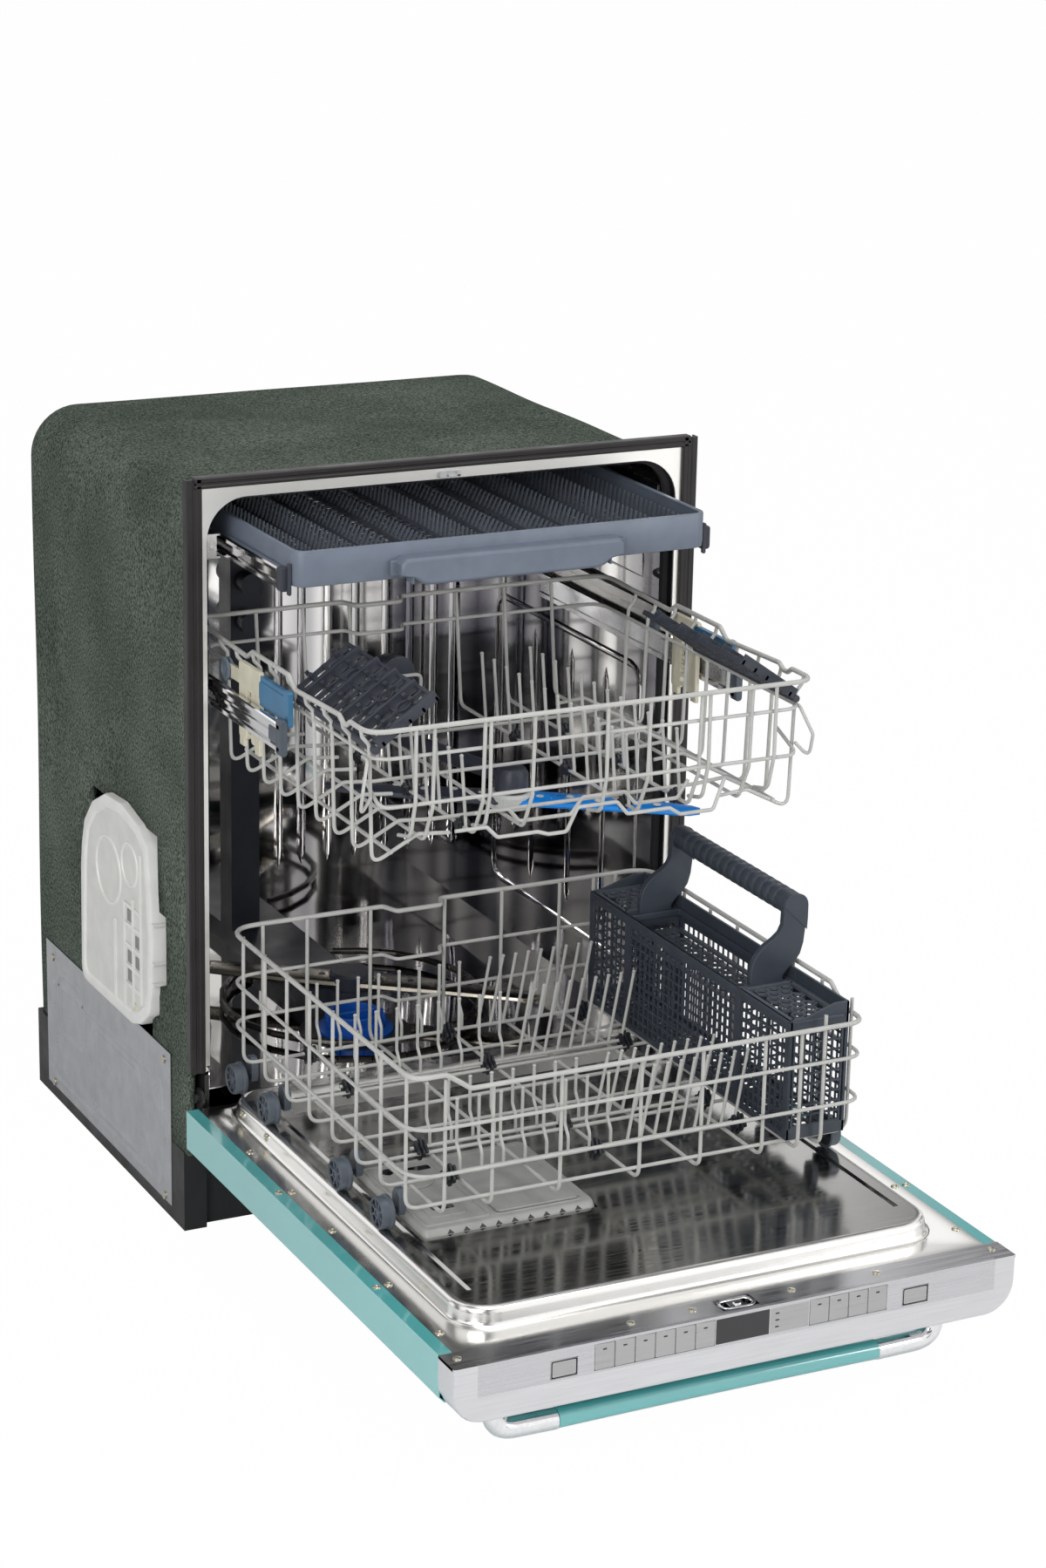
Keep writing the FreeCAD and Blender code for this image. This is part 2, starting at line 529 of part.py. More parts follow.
keep(sprayer("lower_arm", "lower_arm_half", "lower_arm_width", "lower_arm_low", "lower_arm_thick",
             ("26", "boss_top + 0.3", "lower_arm_low + lower_arm_thick + 7"), 0, dim("arm_y"), -39,
             ("pin_radius + 0.3", "boss_top", "lower_arm_low + lower_arm_thick + 0.4")), "lower_spray_arm")

channels = both("tray_channel", lambda name, span: block(
    name, span("tray_rail_out + slide_gap", "tub_half - 1.3"), ("24", "tub_depth - 20"),
    ("tray_rail_low", "tray_rail_high")))
channels += both("rack_channel", lambda name, span: block(
    name, span("rail_out + slide_gap", "tub_half"), ("24", "tub_depth - 20"),
    ("rail_low + 4", "rail_high - 4")))
keep(group("channel_group", *channels), "rail_channels")

# Hinges and door

brackets = []
arms = []
for side in "lr":
    span = mirrored(side)
    plate = block("bracket_plate_" + side, span("tub_half + tub_sheet", "tub_half + 6"), ("0", "40"),
                  ("base_height", "trim_low - 4"))
    peg = rod("bracket_peg_" + side, "x", "hinge_pin", ("hinge_y", "hinge_z"),
              span("tub_half + 5", "tub_half + 16"))
    brackets.append(fuse("bracket_" + side, plate, peg))
    leaf = span("tub_half + 9", "tub_half + 12")
    eye = rod("arm_eye_" + side, "x", "hinge_eye", ("hinge_y", "hinge_z"), leaf)
    stem = block("arm_stem_" + side, leaf, ("hinge_y - 6.5", "hinge_y + hinge_eye"), ("116", "hinge_z"))
    beam = block("arm_beam_" + side, leaf, ("-180", "hinge_y + hinge_eye"), ("116", "144"))
    pad = block("arm_pad_" + side, span("tub_half + 9", "door_half - door_sheet"), ("-180", "-130"),
                ("116", "144"))
    hole = rod("arm_bore_" + side, "x", "hinge_pin + 0.05", ("hinge_y", "hinge_z"),
               span("tub_half + 8", "tub_half + 13"))
    arms.append(cut("arm_" + side, fuse("arm_solid_" + side, eye, stem, beam, pad), hole))
keep(group("bracket_group", *brackets), "hinge_brackets")
keep(group("arm_group", *arms), "hinge_arms")

skin = [
    ("-door_half", "door_high"), ("-door_half", "door_low + door_bevel"),
    ("-door_half + door_bevel", "door_low"), ("door_half - door_bevel", "door_low"),
    ("door_half", "door_low + door_bevel"), ("door_half", "door_high"),
    ("door_half - skin_flange", "door_high"), ("door_half - skin_flange", "door_high - door_sheet"),
    ("door_half - door_sheet", "door_high - door_sheet"),
    ("door_half - door_sheet", "door_low + door_bevel + 0.4"),
    ("door_half - door_bevel - 0.4", "door_low + door_sheet"),
    ("-door_half + door_bevel + 0.4", "door_low + door_sheet"),
    ("-door_half + door_sheet", "door_low + door_bevel + 0.4"),
    ("-door_half + door_sheet", "door_high - door_sheet"),
    ("-door_half + skin_flange", "door_high - door_sheet"), ("-door_half + skin_flange", "door_high"),
]
keep(profile("skin_body", "XZ", skin, ("door_front", "door_rear")), "door_skin")

raised = rounded("pan_raised", block("pan_block", ("-pan_half", "pan_half"), ("pan_front", "pan_rear"),
                                     ("door_high - 1", "pan_high")), "pan_round",
                 along("z", lambda p: p.y < spot(0, -300, 0).y))
inside = rounded("pan_inside", block(
    "pan_void", ("-pan_half + door_sheet", "pan_half - door_sheet"),
    ("pan_front + door_sheet", "pan_rear - door_sheet"), ("door_high - 2", "pan_high - door_sheet")),
    "pan_round", along("z", lambda p: p.y < spot(0, -300, 0).y))
plate = block("liner_plate", ("-door_half + skin_flange", "door_half - skin_flange"),
              ("door_front", "door_rear"), ("door_high - door_sheet", "door_high"))
dish = block("dish", ("dish_left", "dish_right"), ("dish_front", "pan_rear - 12"),
             ("dish_high", "pan_high + 1"))
dish_skin = block("dish_skin", ("dish_left - door_sheet", "dish_right + door_sheet"),
                  ("dish_front - door_sheet", "pan_rear - 12 + door_sheet"),
                  ("dish_high - door_sheet", "pan_high + 1"))
window = block("dispenser_hole", ("dispenser_left", "dispenser_right"),
               ("dispenser_front", "dispenser_rear"), ("door_high - 5", "pan_high + 1"))
outer = cut("liner_outer", fuse("liner_solid", plate, raised), dish)
keep(cut("liner_cut", outer, cut("liner_void", inside, dish_skin), window), "door_liner")
body = block("dispenser_block", ("dispenser_left", "dispenser_right"),
             ("dispenser_front", "dispenser_rear"), ("dispenser_high - dispenser_deep", "dispenser_high"))
keep(body, "dispenser_body")
keep(block("lid_block", ("dispenser_left + 86", "dispenser_right - 14"),
           ("dispenser_front + 14", "dispenser_rear - 74"),
           ("dispenser_high + lid_gap", "dispenser_high + lid_gap + lid_thick")), "dispenser_lid")

studs = []
for i, (x, y) in enumerate((("20", "-139"), ("20", "-250"), ("20", "-352"), ("20", "-486"),
                            ("20", "-600"), ("7", "-246"), ("7", "-487"))):
    studs += both(f"stud_{i}", lambda name, span, x=x, y=y: rod(
        name, "z", "stud_radius", (span(f"door_half - {x}", f"door_half - {x}")[0], y),
        ("door_high", "door_high + stud_proud")))
keep(group("stud_group", *studs), "door_screws")

face = rounded("console_round_block", block(
    "console_block", ("-console_half", "console_half"), ("console_front", "door_front"),
    ("console_low", "console_high")), "console_round", along("y", lambda p: p.z < dim("door_low")))
cavity = block("console_void", ("-console_half + 14", "console_half - 14"),
               ("console_front + strip_deep + console_wall", "door_front + 1"),
               ("console_low + 8", "console_high - console_wall"))
seat = block("strip_seat", ("-strip_half", "strip_half"), ("console_front - 1", "console_front + strip_deep"),
             ("strip_low", "console_high + 1"))
latch = (("-latch_half", "latch_half"),
         ("console_front + latch_front", "console_front + latch_front + latch_deep"))
throat = block("latch_hole", *latch, ("console_high - console_wall - 1", "console_high + 1"))
keep(cut("console_cut", face, cavity, seat, throat), "console")
keep(block("latch_block", *latch, ("console_high - latch_deep", "console_high + latch_rise")), "door_latch")

KEYS = [("key_power", "power_left", "power_left + power_width", "key_small_high")]
for kind, count in (("cycle", 6), ("option", 4)):
    for i in range(count):
        KEYS.append((f"key_{kind}_{i + 1}", f"{kind}_left + {i} * {kind}_pitch + key_gap",
                     f"{kind}_left + {i + 1} * {kind}_pitch - key_gap", "key_high"))
KEYS.append(("key_start", "start_left", "start_left + start_width", "key_small_high"))
wells = []
for name, low, high, tall in KEYS:
    keep(block(name + "_block", (low, high),
               ("console_front - key_proud", "console_front - key_proud + key_thick"),
               ("key_low", tall)), name)
    wells.append(block(name + "_well", (f"{low} - key_gap * 0.75", f"{high} + key_gap * 0.75"),
                       ("console_front - 1", "console_front + strip_deep + 1"),
                       ("key_low - key_gap", f"{tall} + key_gap")))
plate = block("strip_plate", ("-strip_half", "strip_half"), ("console_front", "console_front + strip_deep"),
              ("strip_low", "console_high"))
glass = ("window_left", "window_right"), ("console_front", "console_front + strip_deep")
wells.append(block("window_well", glass[0], ("console_front - 1", "console_front + strip_deep + 1"),
                   ("key_low", "key_high")))
keep(cut("strip_cut", plate, *wells), "control_strip")
keep(block("window_block", *glass, ("key_low", "key_high")), "display_window")

bar_block = block("bar_block", ("-handle_bar_half", "handle_bar_half"), ("handle_front", "handle_rear"),
                  ("handle_low", "handle_high"))
keep(rounded("bar_round", bar_block, "handle_round", along("x")), "handle_bar")
ends = []
for side in "lr":
    span = mirrored(side)
    arm = rounded("end_arm_" + side, block(
        "end_block_" + side, span("handle_bar_half", "handle_half"), ("handle_front", "handle_rear"),
        ("handle_low", "handle_high")), "handle_round", along("x"))
    leg = block("end_leg_" + side, span("handle_half - handle_leg", "handle_half"),
                ("handle_front + 4", "handle_rear - 4"), ("handle_low + 8", "door_low"))
    ends.append(fuse("handle_end_" + side, arm, leg))
keep(group("handle_end_group", *ends), "handle_ends")

# Lower rack

rim, wire, prong = dim("rack_rim"), dim("rack_wire"), dim("tine_wire")
low_half, low_front, low_rear = dim("lower_half"), dim("lower_front"), dim("lower_rear")
low_top, low_low, low_round = dim("lower_top"), dim("lower_low"), dim("lower_round")
bend, ring_drops = dim("lower_round"), (0, dim("lower_ring"), dim("lower_ring_low"))
front_top = low_top - dim("lower_front_drop")
SHOULDER, SADDLE = 36, 62


def hoop(side, first, last, heights, radius, bend, drop=0.0):
    """A closed hoop, stepped in at the back to pass the riser in the tub and lowered by drop in front."""
    room = dim("conduit_half") + dim("riser_room")
    left, right = dim("conduit_x") - room, dim("conduit_x") + room
    low, high = heights
    step = last - dim("rear_step")
    rear = [spot(side, last, high), spot(right, last, high), spot(right - 8, step, high),
            spot(left + 8, step, high), spot(left, last, high), spot(-side, last, high)]
    front = [spot(-side, first, low), spot(side, first, low)]
    bends = [bend] * 3 + [6.0] * 4 + [bend]
    if drop:
        front[1:1] = [spot(-side + SHOULDER, first, low), spot(-side + SADDLE, first, low - drop),
                      spot(side - SADDLE, first, low - drop), spot(side - SHOULDER, first, low)]
        bends[1:1] = [6.0] * 4
    return bent(front + rear, radius, bends, closed=True)


frame = hoop(low_half, low_front, low_rear, (low_top, low_top), rim, bend, dim("lower_front_drop"))
for drop in ring_drops[1:]:
    frame += hoop(low_half, low_front, low_rear, (low_top - drop, low_top - drop), wire, bend)
for i in range(11):
    y = low_front + 22 + (low_rear - low_front - 52) * i / 10
    frame += bent([spot(-low_half + 4, y, low_top), spot(-low_half + 4, y, low_low + 4),
                   spot(low_half - 4, y, low_low + 4), spot(low_half - 4, y, low_top)], wire, 10)
for x in (-215, -164, -90, -2, 67, 138, 180, 207):
    top = front_top if abs(x) < low_half - SADDLE else low_top - 6
    frame += bent([spot(x, low_front + 4, top), spot(x, low_front + 4, low_low),
                   spot(x, low_rear - 4, low_low), spot(x, low_rear - 4, low_top)], wire, 10)
WHEEL_Y = [dim(f"axle_{i}") for i in range(1, 5)]
hub_z, reach_in, reach_out = dim("wheel_height"), dim("wheel_in"), dim("wheel_out")
for y in WHEEL_Y:
    for side in (-1, 1):
        frame.append(bar(spot(side * (reach_in - 14), y, hub_z), spot(side * (reach_out - 1), y, hub_z),
                         dim("axle")))
        post = side * (reach_in - 10)
        frame.append(bar(spot(post, y, hub_z - 3), spot(post, y, low_low + 6), 4))


def tine_row(y, lean):
    """One cross rod with goose-necked prongs on the left and slanted prongs on the right."""
    foot, tip = dim("tine_foot"), dim("tine_tip")
    solids = [bar(spot(-186, y, foot), spot(160, y, foot), wire)]
    for i in range(8):
        x = -165 + 24 * i
        path = [spot(x, y, foot), spot(x, y, foot + 16), spot(x, y + lean, foot + 27),
                spot(x, y + lean, tip)]
        solids.append(tine(path, prong))
    for i in range(7):
        x = 27 + 19 * i
        solids.append(tine([spot(x, y, foot), spot(x + 11, y + lean, tip)], prong))
    return solids


ROWS = [dim(f"row_{i}") for i in range(1, 5)]
frame += tine_row(ROWS[0], 8) + tine_row(ROWS[3], 8)
for y in ROWS:
    for x in (-164, -2):
        frame.append(brick((x - 6, x + 6), (y - 7, y + 7), (low_low - 3, dim("tine_foot") - wire - 0.3)))
keep(formed("lower_frame_shape", frame), "lower_rack_frame")
keep(formed("tines_rear_shape", tine_row(ROWS[1], 8)), "lower_tines_rear")
keep(formed("tines_front_shape", tine_row(ROWS[2], 8)), "lower_tines_front")

for i, y in enumerate(WHEEL_Y, start=1):
    pair = []
    for side in "lr":
        span = mirrored(side)
        centre = (y, "wheel_height")
        tread = rod(f"tread_{i}_{side}", "x", "wheel_radius", centre, span("wheel_in", "wheel_out"))
        dished = rod(f"dish_{i}_{side}", "x", "wheel_radius - 3", centre,
                     span("wheel_in + 5", "wheel_out + 1"))
        nave = rod(f"nave_{i}_{side}", "x", "axle + 3.5", centre, span("wheel_in", "wheel_out"))
        hole = rod(f"nave_bore_{i}_{side}", "x", "axle + 0.3", centre, span("wheel_in - 1", "wheel_out + 1"))
        rim_part = cut(f"wheel_rim_{i}_{side}", tread, dished)
        pair.append(cut(f"wheel_{i}_{side}", fuse(f"wheel_solid_{i}_{side}", rim_part, nave), hole))
    keep(group(f"wheel_group_{i}", *pair), f"wheel_pair_{i}")

b_left, b_right, b_front, b_rear = (dim("basket_" + k) for k in ("left", "right", "front", "rear"))
b_low, b_high, b_wall = dim("basket_low"), dim("basket_high"), dim("basket_wall")
splits = [b_front, dim("basket_split_front"), dim("basket_split_rear"), b_rear]
basket = brick((b_left, b_right), (b_front, b_rear), (b_low, b_high))
voids = [brick((b_left + b_wall, b_right - b_wall), (a + b_wall / 2, b - b_wall / 2),
               (b_low + b_wall, b_high + 1))
         for a, b in zip([b_front + b_wall / 2] + splits[1:3], splits[1:3] + [b_rear - b_wall / 2])]
slots = []
for first, last in zip(splits, splits[1:]):
    count = round((last - first - 16) / 30)
    pitch = (last - first - 16) / count
    for i in range(count):
        for j in range(3):
            y, z = first + 8 + pitch * i, b_low + 14 + 40 * j
            slots.append(brick((b_left - 1, b_right + 1), (y + 4, y + pitch - 4), (z, z + 32)))
keep(formed("basket_shape", [basket.cut(voids + slots).Solids[0]]), "silverware_basket")
g_x, g_z, g_r = dim("grip_x"), dim("grip_z"), dim("grip_radius")
yoke, y_left = dim("yoke_half"), b_left + dim("yoke_inset")
y_right = y_left + dim("yoke_width")
feet_y = [split + b_wall / 2 + yoke + dim("yoke_gap") for split in splits[1:3]]
handle = [bar(spot(g_x, feet_y[0] - 11, g_z), spot(g_x, feet_y[1] + 9, g_z), g_r)]
upright = [
    (y_left, b_high - 34), (y_left, b_high + 4), (y_left + 13, b_high + 26), (g_x - g_r - 1, b_high + 42),
    (g_x - g_r, g_z), (g_x + g_r, g_z), (g_x + g_r, g_z - 22), (g_x + 9, b_high + 12), (y_right + 8, b_high),
    (y_right, b_high - 8), (y_right, b_high - 34),
]
for y in feet_y:
    corners = [spot(x, y - yoke, z) for x, z in upright]
    handle.append(Part.Face(Part.makePolygon(corners + corners[:1])).extrude(FreeCAD.Vector(0, 2 * yoke, 0)))
    handle.append(brick((b_left + b_wall, y_left + 4), (y - yoke, y + yoke), (b_high - 34, b_high - 20)))
keep(formed("basket_handle_shape", handle), "basket_handle")

# Upper rack

up_half, up_front, up_rear = dim("upper_half"), dim("upper_front"), dim("upper_rear")
up_top, up_second, up_low = dim("upper_top"), dim("upper_second"), dim("upper_low")
flat, bottom = dim("upper_floor_half"), dim("upper_low_half")
up_floor, run_z = dim("upper_floor"), dim("upper_run")
upper = hoop(up_half, up_front, up_rear, (up_top, up_top + 6), rim, 26)
upper += hoop(dim("upper_second_half"), up_front + 6, up_rear - 6, (up_second, up_second), wire, 22)
for i in range(11):
    y = up_front + 24 + (up_rear - up_front - 94) * i / 10
    upper += bent([spot(-up_half + 3, y, up_top), spot(-bottom, y, up_low), spot(-flat, y, up_floor),
                   spot(flat, y, up_floor), spot(bottom, y, up_low), spot(up_half - 3, y, up_top)], wire, 9)
for x in (-176, -122, -68, 60, 118, 176):
    upper += bent([spot(x, up_front + 2, up_top), spot(x, up_front + 22, run_z),
                   spot(x, up_rear - 20, run_z), spot(x, up_rear - 4, up_top + 4)], wire, 10)
for x in (-122, 60, 118):
    for i in range(13):
        y = up_front + 42 + 30 * i
        upper.append(bar(spot(x, y, run_z), spot(x - 6, y, run_z + dim("upper_tine_tall")), prong))
keep(formed("upper_frame_shape", upper), "upper_rack_frame")

adjusters = []
for side in "lr":
    span = mirrored(side)
    plate = block("adjuster_plate_" + side, span("adjuster_in", "rail_in - slide_gap"), ("-183", "-60"),
                  ("rail_low - 15", "rail_high + 9"))
    lever = block("lever_" + side, span("adjuster_in - 5", "adjuster_in + 1"), ("-150", "-92"),
                  ("rail_low - 7", "rail_low + 15"))
    tail = block("roller_tail_" + side, span("adjuster_in", "rail_in - slide_gap"), ("-61", "-2"),
                 ("rail_high - 21", "rail_high + 1"))
    adjusters.append(fuse("adjuster_" + side, plate, lever, tail))
keep(group("adjuster_group", *adjusters), "rack_adjusters")

rails = both("upper_rail", lambda name, span: block(
    name, span("rail_in", "rail_out"), ("rail_front", "rail_rear"), ("rail_low", "rail_high")))
keep(group("rail_group", *rails), "upper_rails")

t_z, t_r = dim("tube_height"), dim("tube_radius")
h_x, h_y = dim("upper_hub_x"), dim("upper_hub_y")
n_x = dim("conduit_x")
n_y, p_z = dim("nozzle_y"), dim("port_high")
hub_low = dim("upper_arm_low") + dim("upper_arm_thick") + 3
feed = [bar(spot(n_x, n_y - 8, p_z), spot(n_x, n_y + 18, p_z), 15),
        bar(spot(n_x, n_y, t_z - t_r), spot(n_x, n_y, p_z), 11),
        bar(spot(n_x, n_y, t_z), spot(h_x, h_y, t_z), t_r),
        bar(spot(h_x, h_y, hub_low), spot(h_x, h_y, t_z + t_r + 4), 18)]
keep(formed("feed_tube_shape", feed), "upper_feed_tube")
keep(sprayer("upper_arm", "upper_arm_half", "upper_arm_width", "upper_arm_low", "upper_arm_thick",
             ("24", "upper_arm_low - 4", "upper_arm_low + upper_arm_thick + 2.7"), h_x, h_y, -36, None),
     "upper_spray_arm")


def cup_shelf(name, x, tilt):
    """A slotted shelf on a rod along the side of the rack, turned up by its tilt."""
    first, last, wide = dim("shelf_front"), dim("shelf_rear"), dim("shelf_width")
    thick, z = dim("shelf_thick"), dim("shelf_height")
    plate = brick((x, x + wide), (first, last), (z - thick / 2, z + thick / 2))
    slots = [brick((x + 14, x + wide - 8), (first + 8 + 20.2 * i, first + 22 + 20.2 * i), (z - 9, z + 9))
             for i in range(10)]
    shape = plate.cut(slots).fuse(bar(spot(x, first, z), spot(x, last, z), 4)).Solids[0]
    spin = FreeCAD.Rotation(FreeCAD.Vector(0, -1, 0), tilt)
    return formed(name, [shape], FreeCAD.Placement(FreeCAD.Vector(), spin, spot(x, 0, z)))


keep(cup_shelf("shelf_left_shape", -dim("shelf_hinge"), dim("shelf_tilt")), "cup_shelf_left")
keep(cup_shelf("shelf_right_shape", dim("shelf_hinge"), 180 - dim("shelf_tilt")), "cup_shelf_right")

# Cutlery tray

bowl = rounded("tray_bowl", block("tray_block", ("-tray_half", "tray_half"), ("tray_front", "tray_rear"),
                                  ("tray_low", "tray_high")), "tray_round", along("z"))
space = rounded("tray_space", block(
    "tray_void", ("-tray_half + tray_wall", "tray_half - tray_wall"),
    ("tray_front + tray_wall", "tray_rear - tray_wall"), ("tray_low + tray_wall", "tray_high + 1")),
    "tray_round", along("z"))
gaps = []
for i in range(8):
    for j in range(3):
        x, y = -220 + 56 * i, -100 + 130 * j
        gaps.append(block(f"tray_gap_{i}_{j}", (x, x + 44), (y, y + 112),
                          ("tray_low - 1", "tray_low + tray_wall + 1")))
pull = block("tray_pull", ("-pull_half", "pull_half"), ("pull_front", "tray_front + 2"),
             ("pull_low", "pull_high"))
hold = block("tray_hold", ("-pull_half + 3", "pull_half - 3"), ("pull_front + 3", "tray_front"),
             ("pull_low - 1", "pull_high - 3"))
tray = cut("tray_cut", bowl, space, *gaps)
keep(fuse("tray_solid", tray, cut("tray_pull_cut", pull, hold)), "cutlery_tray")
runners = both("tray_runner", lambda name, span: block(
    name, span("tray_half", "tray_rail_out"), ("tray_front - tray_rail_reach", "tray_rear"),
    ("tray_rail_low", "tray_rail_high")))
keep(group("runner_group", *runners), "tray_rails")

DOC.recompute()
faults = [o.Name for o in DOC.Objects if {"Invalid", "Error"} & set(o.State)]
for piece in NODES:
    shape = piece.Shape
    if shape.isNull() or not shape.isValid() or not shape.Solids:
        faults.append(piece.Label)
if faults:
    raise RuntimeError("pieces that did not build: " + ", ".join(faults))
os.makedirs("parts", exist_ok=True)
for piece in NODES:
    piece.Shape.exportStep(f"parts/{piece.Label}.step")
    print(piece.Label, len(piece.Shape.Solids), [round(v, 1) for v in (
        piece.Shape.BoundBox.XMin, piece.Shape.BoundBox.XMax, piece.Shape.BoundBox.YMin,
        piece.Shape.BoundBox.YMax, piece.Shape.BoundBox.ZMin, piece.Shape.BoundBox.ZMax)])
print(len(NODES), "pieces")
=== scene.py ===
"""Looks of the dishwasher: materials, detailed pieces, floor, light and camera.

Sizes are millimetres with depths from the front plane of the frame, turned into the shared frame's
metres by P.
"""
import json
import math

import bmesh
import bpy
from mathutils import Matrix, Vector


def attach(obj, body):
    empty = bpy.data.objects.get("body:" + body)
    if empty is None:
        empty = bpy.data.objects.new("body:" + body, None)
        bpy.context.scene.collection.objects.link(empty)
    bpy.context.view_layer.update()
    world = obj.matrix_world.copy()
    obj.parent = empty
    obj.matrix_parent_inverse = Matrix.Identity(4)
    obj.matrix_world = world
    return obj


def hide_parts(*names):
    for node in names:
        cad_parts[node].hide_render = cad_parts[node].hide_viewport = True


FRONT = -250.0
SIDES = (-1, 1)
EVEN = (1, 1, 1)

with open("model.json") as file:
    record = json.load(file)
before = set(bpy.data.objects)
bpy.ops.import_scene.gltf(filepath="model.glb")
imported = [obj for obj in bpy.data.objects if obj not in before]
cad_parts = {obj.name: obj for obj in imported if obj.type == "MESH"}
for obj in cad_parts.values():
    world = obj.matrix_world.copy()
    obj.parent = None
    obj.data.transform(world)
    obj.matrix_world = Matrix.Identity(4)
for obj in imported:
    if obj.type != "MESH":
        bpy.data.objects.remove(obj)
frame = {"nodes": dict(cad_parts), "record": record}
NODES = frame["nodes"]
SLOT_OF = {part["node"]: part["material_slot"] for part in frame["record"]["subparts"]}
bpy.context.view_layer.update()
SCENE = bpy.context.scene


def P(x, y, z):
    """A point of the shared frame, in metres."""
    return Vector((x / 1000.0, (y + FRONT) / 1000.0, z / 1000.0))


# Materials

class Graph:
    """A tree of shader nodes, whose inputs take plain values or the outputs of other nodes."""

    def __init__(self, tree):
        self.tree = tree

    def feed(self, socket, value):
        if isinstance(value, bpy.types.NodeSocket):
            self.tree.links.new(value, socket)
        else:
            socket.default_value = (*value, 1.0) if socket.type == "RGBA" else value

    def node(self, kind, inputs=None, **values):
        """A new node; values go by name, and inputs by number where a name is not enough."""
        made = self.tree.nodes.new("ShaderNode" + kind)
        for key, value in values.items():
            name = key.replace("_", " ")
            if name in made.inputs:
                self.feed(made.inputs[name], value)
            else:
                setattr(made, key, value)
        for place, value in (inputs or {}).items():
            self.feed(made.inputs[place], value)
        return made


class Paint(Graph):
    """A principled material whose colour, roughness and relief come from noise in object space."""

    def __init__(self, name, color, rough, metal=0.0):
        self.mat = bpy.data.materials.new(name)
        self.mat.use_nodes = True
        super().__init__(self.mat.node_tree)
        self.shader = self.tree.nodes["Principled BSDF"]
        self.color, self.rough, self.normal = color, rough, None
        self.coord = self.node("TexCoord").outputs["Object"]
        self.set(Base_Color=color, Roughness=rough, Metallic=metal)

    def set(self, **values):
        for key, value in values.items():
            self.feed(self.shader.inputs[key.replace("_", " ")], value)
        return self

    def texture(self, kind, scale, stretch, **values):
        place = self.node("Mapping", Vector=self.coord, Scale=stretch).outputs["Vector"]
        return self.node(kind, Vector=place, Scale=scale, **values).outputs

    def noise(self, scale, detail=3.0, stretch=EVEN):
        return self.texture("TexNoise", scale, stretch, Detail=detail)["Fac"]

    def ramp(self, value, *stops):
        """Colours over a value, as (place, colour) stops."""
        made = self.node("ValToRGB", Fac=value)
        parts = made.color_ramp.elements
        while len(parts) < len(stops):
            parts.new(0.5)
        for part, (place, color) in zip(parts, stops):
            part.position = place
            part.color = (*color, 1.0)
        return made.outputs["Color"]

    def blend(self, amount, first, second, mode="MIX"):
        inputs = {0: amount, 6: first, 7: second}
        return self.node("Mix", inputs, data_type="RGBA", blend_type=mode).outputs[2]

    def tint(self, scale, spread, stretch=EVEN):
        """Vary the colour a little, lighter and darker about its own value."""
        low = tuple(max(c * (1 - spread), 0.0) for c in self.color)
        high = tuple(min(c * (1 + spread), 1.0) for c in self.color)
        return self.set(Base_Color=self.ramp(self.noise(scale, stretch=stretch), (0.32, low), (0.68, high)))

    def gloss(self, scale, spread, stretch=EVEN):
        """Vary the roughness about its own value."""
        low, high = max(self.rough - spread, 0.02), min(self.rough + spread, 1.0)
        made = self.node("MapRange", Value=self.noise(scale, stretch=stretch), From_Min=0.3, From_Max=0.7,
                         To_Min=low, To_Max=high)
        return self.set(Roughness=made.outputs["Result"])

    def relief(self, scale, depth, strength, detail=3.0, stretch=EVEN):
        """Add bump from noise to the bump that is there; depth is in metres."""
        height = self.noise(scale, detail, stretch)
        made = self.node("Bump", Strength=strength, Distance=depth, Height=height)
        if self.normal is not None:
            self.feed(made.inputs["Normal"], self.normal)
        self.normal = made.outputs["Normal"]
        return self.set(Normal=self.normal)


WHITE, BLACK = (1, 1, 1), (0, 0, 0)


def felt_material():
    """Pressed recycled felt: grey-green fibres with pale and dark flecks."""
    made = Paint("felt", (0.075, 0.09, 0.077), 0.97)
    cloud = made.ramp(made.noise(9.0, 4.0), (0.3, (0.06, 0.073, 0.062)), (0.7, (0.098, 0.116, 0.1)))
    fibres = made.noise(420.0, 6.0, (1, 1.2, 0.8))
    grain = made.ramp(fibres, (0.38, (0.32, 0.33, 0.32)), (0.62, (1.66, 1.66, 1.6)))
    color = made.blend(1.0, cloud, grain, "MULTIPLY")
    pale, dark = (330.0, 0.72, 0.8, (0.2, 0.23, 0.21)), (210.0, 0.76, 0.82, (0.014, 0.013, 0.011))
    for scale, low, high, tone in (pale, dark):
        fleck = made.texture("TexVoronoi", scale, (1, 1.6, 1))
        spots = made.ramp(fleck["Distance"], (0.06, WHITE), (0.2, BLACK))
        choice = made.ramp(fleck["Color"], (low, BLACK), (high, WHITE))
        color = made.blend(made.blend(1.0, spots, choice, "MULTIPLY"), color, tone)
    made.relief(260.0, 0.0016, 0.7, 5.0).relief(18.0, 0.004, 0.35)
    return made.set(Base_Color=color, Specular_IOR_Level=0.06).mat


def tub_material():
    """Polished sheet with slight upright waves in its relief, and the room's reflection painted into its
    colour as upright dark, middle and bright bands; faces that look up get an even grey instead.
    """
    made = Paint("tub_steel", (0.66, 0.65, 0.64), 0.05, 1.0)
    # Painted reflection: dark, middle and bright upright bands in the base colour.
    dark, middle, bright = (0.17, 0.168, 0.195), (0.58, 0.57, 0.57), (0.95, 0.94, 0.92)
    bands = made.noise(15.0, 1.0, (1, 0.7, 0.04))
    color = made.ramp(bands, (0.34, dark), (0.48, middle), (0.62, bright))
    normal = made.node("NewGeometry").outputs["Normal"]
    facing = made.node("SeparateXYZ", Vector=normal).outputs["Z"]
    # Faces that look up get an even grey in place of the painted reflection bands.
    level = made.ramp(facing, (0.4, BLACK), (0.85, WHITE))
    made.set(Base_Color=made.blend(level, color, (0.5, 0.49, 0.48)))
    return made.relief(8.0, 0.004, 0.28, 0.5, (1, 1, 0.12)).mat


